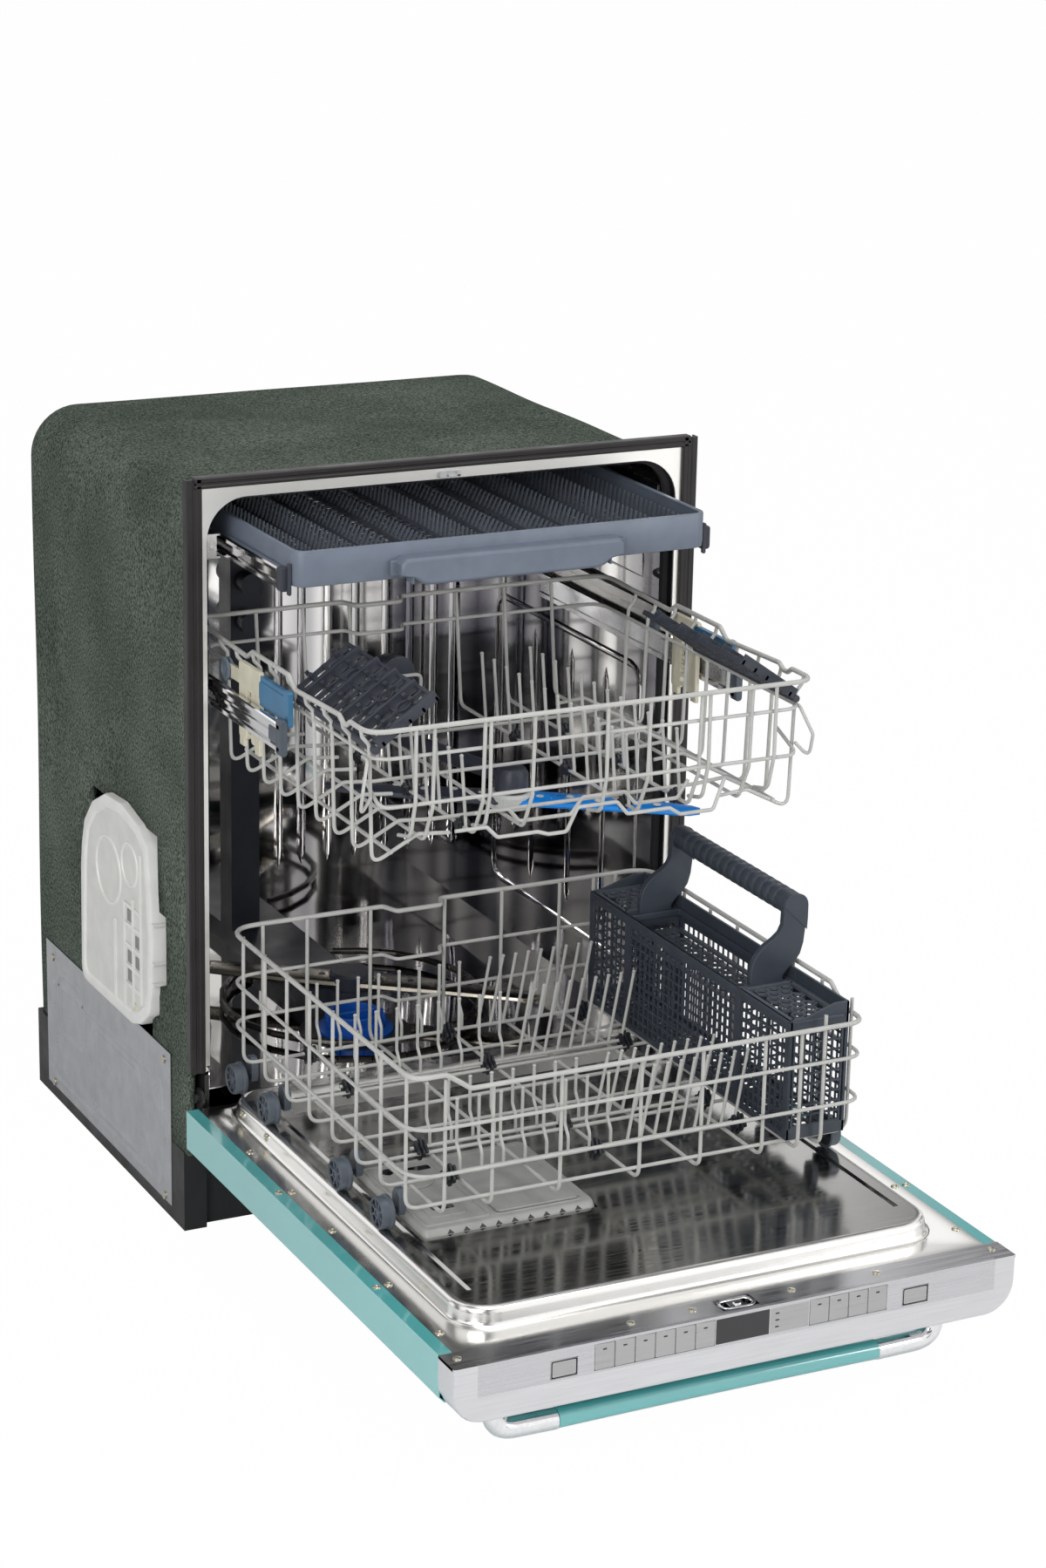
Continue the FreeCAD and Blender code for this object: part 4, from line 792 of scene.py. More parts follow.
def tub_ribs():
    """Pressed ribs on the tub's walls."""
    shape = Shape()
    section = ((-1, 0, 0.3), (-0.5, 0.8, 0), (0, 1, 0), (0.5, 0.8, 0), (1, 0, 0.3))

    def rib(points, wide, high, normal):
        path = [Vector(p) for p in points]
        last = len(path) - 1
        rings = []
        for i, p in enumerate(path):
            run = (path[min(i + 1, last)] - path[max(i - 1, 0)]).normalized()
            end = 0.15 if i in (0, last) else 1.0
            side = run.cross(normal).normalized() * wide * end
            rings.append([p + side * a + normal * (high * b * end - sunk) for a, b, sunk in section])
        shape.loops(rings, caps=False, seam=False)
    back, wall, flat = 486, 273, 2.6
    heights = [230, 244] + list(range(300, 740, 80)) + [756, 770]
    for x in (-236, -206, -176, -140, -110, -84, 10, 40, 74, 110, 150, 182, 214, 240):
        rib([(x, back, z) for z in heights], 6, flat, Vector((0, -1, 0)))
    for side in SIDES:
        inward = Vector((-side, 0, 0))
        for z0, z1 in ((205, 560), (665, 740)):
            corners = [(70, z0), (430, z0), (430, z1), (70, z1), (70, z0 + 1)]
            rib(round_path(lay(corners, "x", side * wall), 24), 5, flat, inward)
        for y in (150, 235, 330):
            rib([(side * wall, y, z) for z in (230, 245, 330, 430, 525, 540)], 6, 3.0, inward)
    shape.piece("tub_pressings", "tub_steel", "cabinet", slot="tub_steel")


def trim():
    """Black edge trim with a rounded lip and a raised inner bead, and the flange inside it in a lighter copy
    of the steel, as painted light.
    """
    shape = Shape()
    upright = [(278.6, 0.6), (278.6, -2.4), (279.8, -3.5), (284, -3.5), (285, -2.6), (288.6, -2.6),
               (289.6, -3.5), (294.6, -3.5), (296, -2.2), (296, 7.8), (294.4, 7.8), (294.4, 0.6)]
    for side in SIDES:
        shape.prism(flip(upright, side), "z", 190, 836.4)
    head = [(0.9, 826), (-2.4, 826), (-3.5, 827), (-3.5, 829), (-2.6, 830), (-2.6, 832), (-3.5, 833),
            (-3.5, 836.6), (-2.2, 838), (7.8, 838), (7.8, 836.4), (0.9, 836.4)]
    shape.prism(head, "x", -287, 287)
    shape.piece("trim_frame", "trim_black", "cabinet", "edge_trim")
    foot, spring, reach, half = 196, 769.6, 57, 285
    inner = [(-272.4, foot)] + arc((-228, spring), 44.6, 180, 90, 12)
    inner += flip(reversed(inner), -1)
    outer = [(-half, foot)] + [(-half, spring + reach * k / 6) for k in range(7)]
    outer += [(-half + reach * k / 6, spring + reach) for k in range(1, 7)]
    outer += flip(reversed(outer), -1)
    rings = [lay(inner, "y", 3.0), lay(inner, "y", 0.7), lay(outer, "y", 0.7)]
    flange = Shape().loops(rings, caps=False, seam=False)
    # Painted light: the flange face is in flange_steel, a lighter copy of the steel.
    flange.piece("tub_flange_face", "flange_steel", "cabinet", slot="tub_steel")


def strike():
    """The catch that the door's latch meets, on the top flange."""
    shape = Shape()
    for rect, near, far in (((-13, 13, 815.6, 822, 1.5), -0.4, 0.9), ((-12, -4, 816, 821.6, 1), -2.8, 0),
                            ((-2, 12, 816, 818.4, 1), -3, 0), ((8, 12, 816, 821.6, 1), -3, 0)):
        shape.prism(round_rect(*rect, 3), "y", near, far)
    shape.piece("strike_catch", "strike_grey", "cabinet", "door_strike", bevel=0.3)


# Door

def console():
    """Chrome door cap with a recessed band and a rolled lip, its screws and the latch's mouth."""
    half, low, high, front, rear = 305.0, 94.0, 153.5, -676.0, -642.0
    corner, band_half, band_low = 32, 281, 121
    shape = Shape()
    face = [(-half, high)] + arc((-half + corner, low + corner), corner, 180, 270, 8)
    face += flip(reversed(face), -1)
    lip = [(x * 0.997, z if z > high - 1 else z + 0.9) for x, z in face]
    inner = [(x * 0.992, z if z > high - 1 else z + 2.2 * (1 - (z - low) / (high - low))) for x, z in face]
    steps = ((face, rear), (face, front + 3.2), (lip, front + 0.9), (inner, front))
    shape.loops([lay(outline, "y", y) for outline, y in steps], caps=False, seam=False)
    band = [(-band_half, band_low), (band_half, band_low), (band_half, high), (-band_half, high)]
    n = len(inner)
    mid = n // 2
    faces = [(n + 3, *range(mid), n), (n + 1, *range(mid, n), n + 2), (n, mid - 1, mid, n + 1)]
    faces += [(n, n + 1, n + 5, n + 4), (n + 1, n + 2, n + 6, n + 5), (n + 3, n, n + 4, n + 7)]
    shape.add(lay(inner, "y", front) + lay(band, "y", front) + lay(band, "y", front + 1.2), faces)
    mouth, step = 20.2, -672
    for xs, ys in (((-half, -mouth), (step, rear)), ((mouth, half), (step, rear)),
                   ((-mouth, mouth), (step, -668.2)), ((-mouth, mouth), (-645.8, rear)),
                   ((-half, -band_half), (-675.4, step)), ((band_half, half), (-675.4, step))):
        shape.box(xs, ys, (high - 3, high))
    shape.piece("console_cap", "console_chrome", "door", "console", angle=28)
    screws = Shape()
    for x in (-292, -112, -46, 62, 157, 290):
        screws.turned([(4.2, 0), (4.0, 0.9), (2.4, 1.5), (0.4, 1.6)], (x, -655, high), "z", 16)
    screws.piece("console_screws", "screw_steel", "door", slot="screw_steel")
    latch = Shape()
    lips = [(0, 152), (0.4, 153.7), (-1, 153.9), (-2.4, 153.9), (-3.2, 153.2), (-3.2, 148)]
    latch.rim(round_rect(-19, 19, -667, -647, 9, 5), lips)
    latch.prism(round_rect(-8, 9, -663, -651, 2, 3), "z", 140, 152.6)
    latch.box((-2, 4), (-660, -654), (152, 153.8))
    latch.piece("latch_mouth", "chrome", "door", "door_latch", slot="sump_plastic", bevel=0.3)


KEY_LOW, KEY_TOP, END_KEY_TOP, KEY_FACE = 124, 150, 142, -676.2
KEYS = [("key_power", -206, -178.5, END_KEY_TOP), ("key_start", 175.3, 204, END_KEY_TOP)]
for kind, count, start, pitch in (("cycle", 6, -160.8, 21.4), ("option", 4, 70.6, 21.7)):
    for i in range(count):
        ends = (start + pitch * i + 0.4, start + pitch * (i + 1) - 0.4)
        KEYS.append((f"key_{kind}_{i + 1}", *ends, KEY_TOP))


def keys():
    """Satin film keys with a pin-sized lamp, or a dark border on the two end keys, and the lamp panel."""
    for name, x0, x1, top in KEYS:
        shape = Shape()
        shape.prism(round_rect(x0, x1, KEY_LOW, top, 1.2, 3), "y", -673.6, KEY_FACE, 0.25)
        shape.paint(1)
        if top == END_KEY_TOP:
            rings = []
            for d, y in ((0.4, -676.1), (0.4, KEY_FACE), (1.4, KEY_FACE), (1.4, -676.1)):
                rings.append(lay(round_rect(x0 + d, x1 - d, KEY_LOW + d, top - d, 1.4, 3), "y", y))
            shape.loops(rings, closed=True)
        else:
            shape.box(around((x0 + x1) / 2, 2), (KEY_FACE, -675.9), (143.4, 145))
        shape.piece(name + "_cap", ["key_film", "window_black"], name, name, angle=40)
    panel = Shape()
    panel.prism(round_rect(27.2, 69.8, KEY_LOW, KEY_TOP, 1, 3), "y", -674, -676.05, 0.2)
    panel.paint(1)
    for z in (144, 137, 130):
        panel.box((33, 37), (-676.15, -676), around(z, 0.8))
    panel.piece("lamp_panel", ["key_film", "window_black"], "door", slot="key_film")


def handle():
    """A bowed bar in paint between chrome ends that curve up into the door's edge."""
    depth, height, radius, length, steps, corner = -630.2, 58, 10.2, 352, 24, 243
    rings = []
    for k in range(steps + 1):
        x = length * (k / steps - 0.5)
        sag = 1.6 * math.cos(math.pi * x / 510) - 1.6
        rings.append(lay(circle((depth, height + sag), radius, 20), "x", x))
    Shape().loops(rings).piece("handle_grip", "teal_paint", "door", "handle_bar")
    ends = Shape()
    for side in SIDES:
        points = [(side * 176.2, depth, 56.6), (side * corner, depth, 57.6), (side * corner, depth, 103.8)]
        ends.tube(round_path(points, 30, steps=10), 10.4, 20)
        ends.prism(flip(round_rect(227, 254.6, -641, -619.4, 6, 5), side), "z", 92, 104)
    ends.piece("handle_corners", "chrome", "door", "handle_ends", bevel=0.8)


def liner():
    """The pressed inner sheet: flange, groove, raised pan, wheel tracks and a dished sill."""
    half, front, rear, pan, flange = 262, -607, -14, 170, 153.0

    def ring(out, z, radius, near=None):
        low = front - out if near is None else near
        return lay(round_rect(-half - out, half + out, low, rear + min(out, 4), radius, 6), "z", z)
    shape = Shape()
    steps = ((28.4, flange, 0.6, -641.8), (7, flange, 46), (5, 152.2, 44), (2.6, 152.2, 42), (0.8, 153.8, 41),
             (0, 156.5, 40), (-1.2, 163, 39), (-2, 166, 38), (-3.6, 168.4, 36.5), (-6.4, 169.7, 34),
             (-9.5, pan, 31))
    wall = [ring(*step) for step in steps]
    # Painted light and shade on one steel sheet: the walls and flange take the lighter liner_edge, the pan
    # top the darker liner_steel.
    shape.paint(1).loops(wall, caps=False)
    shape.paint(0).loops([wall[-1], ring(-19, pan, 0.6)], caps=False)
    sill, track, sill_low, track_low = 9.0, 2.5, 164.0, 167.4
    hollows = [(-215, 200, -100, -38, sill, sill_low), (-241, -232, -560, -60, track, track_low),
               (232, 241, -560, -60, track, track_low)]
    holes = [hollow[:4] for hollow in hollows] + [(-225, -35, -440, -270)]
    xs = sorted({-243, 243} | {x for hole in holes for x in hole[:2]})
    ys = sorted({-588, -33} | {y for hole in holes for y in hole[2:]})
    for left, right in zip(xs, xs[1:]):
        for near, far in zip(ys, ys[1:]):
            x, y = (left + right) / 2, (near + far) / 2
            if not any(h[0] < x < h[1] and h[2] < y < h[3] for h in holes):
                corners = [(left, near), (right, near), (right, far), (left, far)]
                shape.add(lay(corners, "z", pan), [(0, 1, 2, 3)])
    for x0, x1, y0, y1, inset, deep in hollows:
        rings = []
        for part, z in ((0.0, pan), (0.25, pan - 0.6), (0.6, pan - (pan - deep) * 0.6), (1.0, deep)):
            step = inset * part
            outline = round_rect(x0 + step, x1 - step, y0 + step, y1 - step, 0.2 + step * 0.9, 4)
            rings.append(lay(reversed(outline), "z", z))
        # The sill's hollow takes the lighter flange_steel as painted light; the wheel tracks take the darker
        # pan-top steel as painted shade.
        shape.paint(2 if deep == sill_low else 0).loops(rings, caps=False)
        shape.add(rings[-1], [tuple(range(len(rings[-1])))])
    shape.piece("liner_sheet", ["liner_steel", "liner_edge", "flange_steel"], "door", "door_liner", angle=50)
    screws = Shape()
    dome = [(4.4, -0.4), (4.2, 0.8), (3.0, 1.6), (1.5, 1.8), (1.2, 1.0), (0.2, 0.9)]
    for side in SIDES:
        for x, y in ((284, -139), (284, -250), (284, -352), (284, -486), (284, -600), (297, -246),
                     (297, -487)):
            screws.turned(dome, (side * x, y, flange), "z", 16)
        for y in (-62, -128):
            screws.turned([(r, h * side) for r, h in dome], (side * 261.4, y, 161.5), "x", 16)
    screws.piece("door_screw_heads", "screw_steel", "door", "door_screws")


def dispenser():
    """Detergent dispenser: a raised body with a dial, a row of drain slots drawn as flat dark triangles
    (painted shade) and a sliding lid.
    """
    left, right, front, rear, face = -225, -35, -440, -270, 176
    shape = Shape()
    rings = []
    steps = ((160, 0.4, 0.4), (169, 0.4, 0.4), (174.4, 1.4, 4.0), (175.6, 2.2, 5.2), (face, 3.6, 6.8))
    for z, out, low in steps:
        rings.append(lay(round_rect(left + out, right - out, front + low, rear - out, 8, 5), "z", z))
    shape.loops(rings)
    thick = [(0, 175), (-0.4, 177.2), (-1.6, 177.6), (-2.8, 177.2), (-3.2, 175)]
    thin = [(0, 175), (-0.3, 176.6), (-1, 177), (-1.8, 176.6), (-2.1, 175)]
    shape.rim(round_rect(-219, -146, -428, -276, 6, 4), thick)
    shape.rim(round_rect(-142, -46, -429, -280, 5, 4), thin)
    dial = [(23, 0), (23, 1.6), (20, 2.4), (8, 2.4), (7, 1.2), (0.4, 1.2)]
    shape.turned(dial, (-184, -320, face), "z", 28)
    shape.box((-202, -166), (-322, -318), (face, 179.2))
    shape.prism(round_rect(-204, -164, -412, -372, 7, 4), "z", 175, 177.4, 0.6)
    shape.paint(1)
    # Painted shade: flat dark triangles on the front wall stand for the drain slots.
    for k in range(9):
        x = -196 + 17.5 * k
        drain = [(x - 4, 170.2), (x + 4, 170.2), (x, 174)]
        shape.add([(a, front + 0.28 + (z - 169) * 0.667, z) for a, z in drain], [(0, 1, 2)])
    shape.turned([(8, 0), (8, 0.5), (0.3, 0.6)], (-196, -292, face), "z", 20)
    shape.prism(round_rect(-176, -152, -300, -290, 3, 4), "z", 175.6, 176.5)
    shape.prism(round_rect(-196, -172, -398, -386, 3, 4), "z", 177, 177.7)
    shape.piece("dispenser_face", ["dispenser_grey", "window_black"], "door", "dispenser_body", bevel=0.3)
    lid = Shape()
    lid.prism(round_rect(-139, -49, -426, -344, 5, 4), "z", 176.4, 178.8, 0.6)
    for k in range(5):
        lid.prism(round_rect(-120 + 12 * k, -114 + 12 * k, -416, -396, 2.5, 3), "z", 178.4, 178.9)
    lid.piece("dispenser_slide", "dispenser_grey", "dispenser_lid", "dispenser_lid")


# Racks

RIM, WIRE, PRONG = 2.6, 2.0, 1.75
TINE_TIP, FRONT_TINE_TIP = 286.0, 276.0
FIXED_TINES, REAR_TINES, FRONT_TINES = (-45, -392), -145, -322
UPPER_TINES = (-122, 60, 118)
LOWER_ARM, UPPER_ARM = (0, 243), (10, -140)


def notch(rear):
    """Corners of the step in a rack's rear wire that clears the feed conduit."""
    return [(-6, rear), (-14, rear - 20), (-66, rear - 20), (-74, rear)]


def star_clip(shape, x, y, z, radius):
    """A dark four-lobed clip that holds a row of tines on a floor wire."""
    steps, lobe = 24, 0.22
    for shift, grow in ((-4.5, 0.8), (0.0, 1.0), (4.5, 0.8)):
        outline = []
        for k in range(steps):
            a = 2 * math.pi * k / steps
            r = radius * grow * (1 - lobe + lobe * math.cos(4 * a))
            outline.append((y + r * math.cos(a), z + r * math.sin(a)))
        shape.prism(outline, "x", *around(x + shift, 1.3))
    shape.turned([(4.6, -7), (4.6, 7)], (x, y, z), "x", 14)


def ball_tip(shape, x, y, z):
    """The rounded cap on the end of a prong."""
    rows = ((0.8, -1.6), (1.22, -0.4), (1.22, 0.8), (0.7, 1.8))
    shape.turned([(PRONG * r, h) for r, h in rows] + [(0.2, 2.1)], (x, y, z), "z", 10)


def tine_row(shape, y, tip=TINE_TIP):
    """A cross rod with goose-necked prongs on the left and slanted prongs on the right."""
    foot, lean, slant = 212.0, 8.0, 18
    shape.tube([(-186, y, foot), (160, y, foot)], WIRE, 10)
    for i in range(8):
        x = -165 + 24 * i
        points = [(x, y, foot), (x, y, foot + 16), (x, y + lean, foot + 27), (x, y + lean, tip)]
        shape.wire(points, PRONG, 7)
        ball_tip(shape, x, y + lean, tip - 0.5)
    for i in range(9):
        x = 22 + 15.5 * i
        shape.tube([(x, y, foot), (x + slant, y + lean, tip)], PRONG, 8)
        ball_tip(shape, x + slant, y + lean, tip - 0.5)


def lower_rack():
    """The welded wire basket of the lower rack with its fixed tine rows, clips and axle carriers."""
    half, front, rear, top, low = 252.0, -466.0, -4.0, 350.0, 203.0
    corner, soft, dip = 32.0, 9.0, 18.0
    shape = Shape()
    for z, radius, saddle in ((top, RIM, dip), (top - 55, WIRE, 0.0), (top - 103, WIRE, 0.0)):
        points = [(-half, front, z)]
        bends = [corner]
        if saddle:
            points += [(-half + 36, front, z), (-half + 62, front, z - saddle)]
            bends += [soft, soft]
        points += [(half, front, z - saddle), (half, front + 44, z - saddle), (half, front + 70, z)]
        bends += [30.0, soft, soft]
        points += lay([(half, rear)] + notch(rear) + [(-half, rear)], "z", z)
        bends += [corner] + [7.0] * 4 + [corner]
        shape.wire(points, radius, bends, closed=True, sides=10)
    side, floor = half - 4, low + 4
    for i in range(8):
        y = front + 22 + (rear - front - 52) * i / 7
        hoop = [(-side, top), (-side, floor), (side, floor), (side, top)]
        shape.wire(lay(hoop, "y", y), WIRE, 14)
    for x in (-215, -164, -90, -2, 67, 138, 180, 207):
        height = top - dip if abs(x) < 190 else top - 6
        hoop = [(front + 4, height), (front + 4, low), (rear - 4, low), (rear - 4, top)]
        shape.wire(lay(hoop, "x", x), WIRE, 14)
    for y in FIXED_TINES:
        tine_row(shape, y)
    shape.piece("lower_rack_wires", "rack_coating", "lower_rack", "lower_rack_frame")
    clips = Shape()
    for y in (*FIXED_TINES, REAR_TINES, FRONT_TINES):
        for x in (-176, -14, 150):
            star_clip(clips, x, y, 210.0, 12.6)
    clips.piece("lower_rack_clips", "clip_black", "lower_rack", slot="slate_plastic")
    posts = Shape()
    outline = [(-6, 184), (6, 184), (9, 190), (9, 204), (4, 211), (-4, 211), (-9, 204), (-9, 190)]
    for y in AXLES:
        for side in SIDES:
            posts.prism([(y + a, z) for a, z in outline], "x", side * 231, side * 239)
            posts.turned([(2.8, 0), (2.8, side * 27)], (side * 232, y, AXLE_HEIGHT), "x", 16)
    posts.piece("axle_carriers", "wheel_slate", "lower_rack", slot="slate_plastic", bevel=0.8)


def folding_tines():
    """The two rows of tines that fold, each a body of its own."""
    for name, y, tip in (("lower_tines_rear", REAR_TINES, TINE_TIP),
                         ("lower_tines_front", FRONT_TINES, FRONT_TINE_TIP)):
        shape = Shape()
        tine_row(shape, y, tip)
        shape.piece(name + "_wires", "rack_coating", name, name)


UPPER_RIM = [(-347, 659), (-302, 659), (-294, 653.5), (-286, 653.5), (-276, 659), (-168, 655), (-152, 666),
             (-58, 666), (-42, 657), (108, 661)]


def upper_rim_height(y):
    """Height of the upper rack's side rim: a raised stretch in the middle, lower at both ends."""
    for (y0, z0), (y1, z1) in zip(UPPER_RIM, UPPER_RIM[1:]):
        if y0 <= y <= y1:
            return z0 + (z1 - z0) * (y - y0) / (y1 - y0)


def floor_steps(shape, y, base, steps):
    """A cross wire that rises and falls in steps between the floor wires."""
    points = []
    for (x0, lift), (x1, _) in zip(steps, steps[1:]):
        points += [(x0, y, base + lift), (x1 - 12, y, base + lift)]
    points.append((steps[-1][0], y, base + steps[-1][1]))
    shape.wire(points, WIRE, 5)


def upper_rack():
    """The wire basket of the upper rack: humped rim, V-footed side wires, stepped floor and tine rows."""
    half, inner, front, rear, rim, rear_rim, floor = 246.0, 236, -347.0, 108.0, 659, 661, 536.5
    shape = Shape()
    humps = UPPER_RIM[1:-1]
    points = [(-half, front, rim), (half, front, rim)] + lay(humps, "x", half)
    points += lay([(half, rear)] + notch(rear) + [(-half, rear)], "z", rear_rim)
    points += lay(reversed(humps), "x", -half)
    bends = [24.0, 24.0] + [6.0] * 8 + [24.0] + [7.0] * 4 + [24.0] + [6.0] * 8
    shape.wire(points, RIM, bends, closed=True, sides=10)
    back = rear - 6
    points = [(-inner, front + 6, 629.5), (inner, front + 6, 629.5)]
    points += lay([(inner, back)] + notch(back) + [(-inner, back)], "z", 631)
    shape.wire(points, WIRE, [20.0] * 3 + [7.0] * 4 + [20.0], closed=True)
    shape.wire([(-230, -300, 600), (-232, front + 4, 581), (232, front + 4, 581), (230, -300, 600)], WIRE, 12)
    for i in range(9):
        y = -326 + 45 * i
        z = upper_rim_height(y)
        hook = [(-half, z), (-half + 2, z - 9), (-237, z - 17), (-inner, 628), (-233, 519.5), (-184, 545),
                (-150, 542)]
        bends = [0, 4, 6, 8, 9, 10, 14]
        left, right = lay(hook, "y", y), lay(flip(reversed(hook), -1), "y", y)
        if i % 3 == 1:
            shape.wire(left + right, WIRE, bends + bends[::-1])
        else:
            shape.wire(left, WIRE, bends)
            shape.wire(right, WIRE, bends[::-1])
    for x in (-176, *UPPER_TINES, -68, 176):
        hoop = [(front + 2, rim), (front + 5, 575), (front + 24, floor), (rear - 20, floor), (rear - 4, 660)]
        shape.wire(lay(hoop, "x", x), WIRE, 12)
    for x in (-196, -116, 12, 127, 203):
        hook = [(front + 1.5, rim), (front + 1.5, 584), (front + 12, 546), (front + 40, 539.5)]
        shape.wire(lay(hook, "x", x), WIRE, 14)
    for side in SIDES:
        shape.tube([(side * 214, -330, 531), (side * 214, 40, 531)], WIRE, 8)
        loop = [(240, -318, 628), (240, -330, 628), (250, -342, 600), (250, -336, 574), (236, -330, 590)]
        shape.wire([(side * x, y, z) for x, y, z in loop], PRONG, 6)
    front_steps = ((-150, 12), (-104, 0), (-48, -4), (-16, 20), (40, 6), (100, -2), (150, 30))
    floor_steps(shape, -339.0, 535.0, front_steps)
    floor_steps(shape, -318.0, 541.0, ((-120, 14), (-70, 0), (0, 16), (60, 2), (120, 20)))
    clips = Shape()
    for x in UPPER_TINES:
        for i in range(12):
            y = -305 + 30 * i
            shape.tube([(x, y, 537), (x - 6, y, 612)], PRONG, 8)
            ball_tip(shape, x - 6, y, 611.5)
        for y in (-296, -170, -50):
            star_clip(clips, x, y, 538, 9.0)
    shape.piece("upper_rack_wires", "rack_coating", "upper_rack", "upper_rack_frame")
    clips.piece("upper_rack_clips", "clip_black", "upper_rack", slot="slate_plastic")


def cup_shelves():
    """Slotted cup shelves with ladder bars and round glass stops, tilted inward on their hinge rods."""
    first, last, z, tilt = -335.0, -125.0, 637.3, 35.0
    for side, name in ((1, "cup_shelf_left"), (-1, "cup_shelf_right")):
        shape = Shape()
        about = Vector((-233.0 * side, 0, z))
        turn = spin(-tilt * side, "Y")

        def bar(xs, ys, zs):
            shape.box(sorted(about.x + side * w for w in xs), ys, (z + zs[0], z + zs[1]), turn, about)
        for w in (10, 27, 44, 61, 78):
            bar(around(w, 1.8), (first, last), (-2, 3.4))
        for k in range(15):
            y = first + 1.6 + (last - first - 3.2) * k / 14
            bar((4, 80), around(y, 1.6), (-2, 9.0 if k % 3 == 0 else 3.0))
            for w in (27, 61):
                bar(around(w, 2.2), (y + 4, min(y + 10, last)), (3.0, 8.5))
        for k in range(7):
            bar((31, 40), around(first + 15 + 30 * k, 5), (-1.6, 0.6))
        for k in range(5):
            rings = []
            for radius, lift in ((8.6, -1.0), (8.6, 6.0), (7.4, 6.0), (7.4, -1.0)):
                ring = lay(circle((side * 52, -310 + 40 * k), radius, 20), "z", lift)
                rings.append([turn @ Vector(v) + about for v in ring])
            shape.loops(rings, closed=True)
        shape.tube([(about.x, first, z), (about.x, last, z)], 4.0, 14)
        shape.piece(name + "_ladder", "shelf_grey", name, name, bevel=0.4)


def rails():
    """Chrome drawer rails with rolled edges and dark end caps."""
    steel, caps = Shape(), Shape()
    section = [(256.6, 592), (256.6, 597), (258.6, 598), (258.6, 614), (256.6, 615), (256.6, 620), (258, 621),
               (262.6, 621), (264, 619.6), (264, 615.6), (261.2, 614.4), (261.2, 608.4), (262.8, 607.6),
               (262.8, 604.4), (261.2, 603.6), (261.2, 597.6), (264, 596.4), (264, 592.4), (262.6, 591),
               (258, 591)]
    for side in SIDES:
        steel.prism(flip(section, side), "y", -168, 290)
        caps.prism(flip(round_rect(256.6, 264, 588, 626, 3, 3), side), "y", -173, -160, 0.8)
        caps.prism(flip(round_rect(258.8, 263.4, 598, 614, 2, 3), side), "y", -160, -140)
    steel.piece("rack_rails", "chrome", "upper_rails", "upper_rails")
    caps.piece("rack_rail_caps", "wheel_slate", "upper_rails", slot="slate_plastic")


def adjusters():
    """Height adjusters: on each side a cream bracket with ratchet steps, a blue lever and a roller."""
    frames, levers, rollers = Shape(), Shape(), Shape()
    plates = ((frames, (-98, -42, 628, 655, 4), 250, 255.4, 0),
              (frames, (-96, -74, 574, 632, 4), 250.4, 255.2, 0),
              (frames, (-62, -42, 574, 632, 4), 250.4, 255.2, 0),
              (levers, (-170, -90, 621, 652, 5), 249.4, 254.6, 0),
              (levers, (-165, -96, 626, 647, 4), 254.4, 255.6, 0.5),
              (levers, (-172, -160, 617, 654, 3), 250, 255.8, 0))
    flange = [(3, 0), (11.2, 0), (12.4, 0.7), (12.4, 1.6), (11.2, 2.4), (8, 2.4), (7.4, 1.4), (3, 1.4)]
    axle = [(5, 0), (5, 6.8), (2, 7.0), (0.3, 7.0)]
    for side in SIDES:
        for shape, rect, inner, outer, inset in plates:
            shape.prism(round_rect(*rect, 4), "x", side * inner, side * outer, inset)
        blocks = [(250, 254, (-76, -60), (578 + 10 * k, 582 + 10 * k)) for k in range(5)]
        blocks += [(250.2, 252.6, (-44, 6), (628, 642))]
        blocks += [(251, 255.3, around(y, 6), (566, 578)) for y in (-90, -50)]
        for inner, outer, ys, zs in blocks:
            frames.box(sorted((side * inner, side * outer)), ys, zs)
        for rows, x, steps in ((flange, 248.6, 28), (flange, 253.0, 28), (axle, 248.8, 20)):
            rollers.turned([(r, side * h) for r, h in rows], (side * x, -3, 635), "x", steps)
    frames.piece("adjuster_frames", "cream_plastic", "upper_rack", "rack_adjusters", bevel=0.6)
    levers.piece("adjuster_levers", "lever_blue", "upper_rack", slot="blue_plastic", bevel=0.6)
    rollers.piece("adjuster_rollers", "roller_slate", "upper_rack", slot="dispenser_grey")


# Water circuit

def arm_rings(half, width, low, high):
    """Rings of a hollow spray arm: slightly curved, narrower and thinner towards its round tips."""
    section = ((-1, 0.35), (-0.94, 0.1), (-0.8, 0), (0.8, 0), (0.94, 0.1), (1, 0.35), (0.9, 0.75), (0.55, 1),
               (-0.55, 1), (-0.9, 0.75))
    taper, thinning, curve, tip, steps = 0.42, 0.25, 3.0, 0.9, 40
    rings = []
    for k in range(steps + 1):
        s = -1 + 2 * k / steps
        wide = width / 2 * (1 - taper * abs(s) ** 1.5)
        if abs(s) > tip:
            wide *= math.sqrt(max(1 - ((abs(s) - tip) / (1 - tip)) ** 2, 0.02))
        tall = (high - low) * (1 - thinning * abs(s))
        bend = curve * math.sin(math.pi * s)
        rings.append([(half * s, bend + wide * a, low + tall * b) for a, b in section])
    return rings


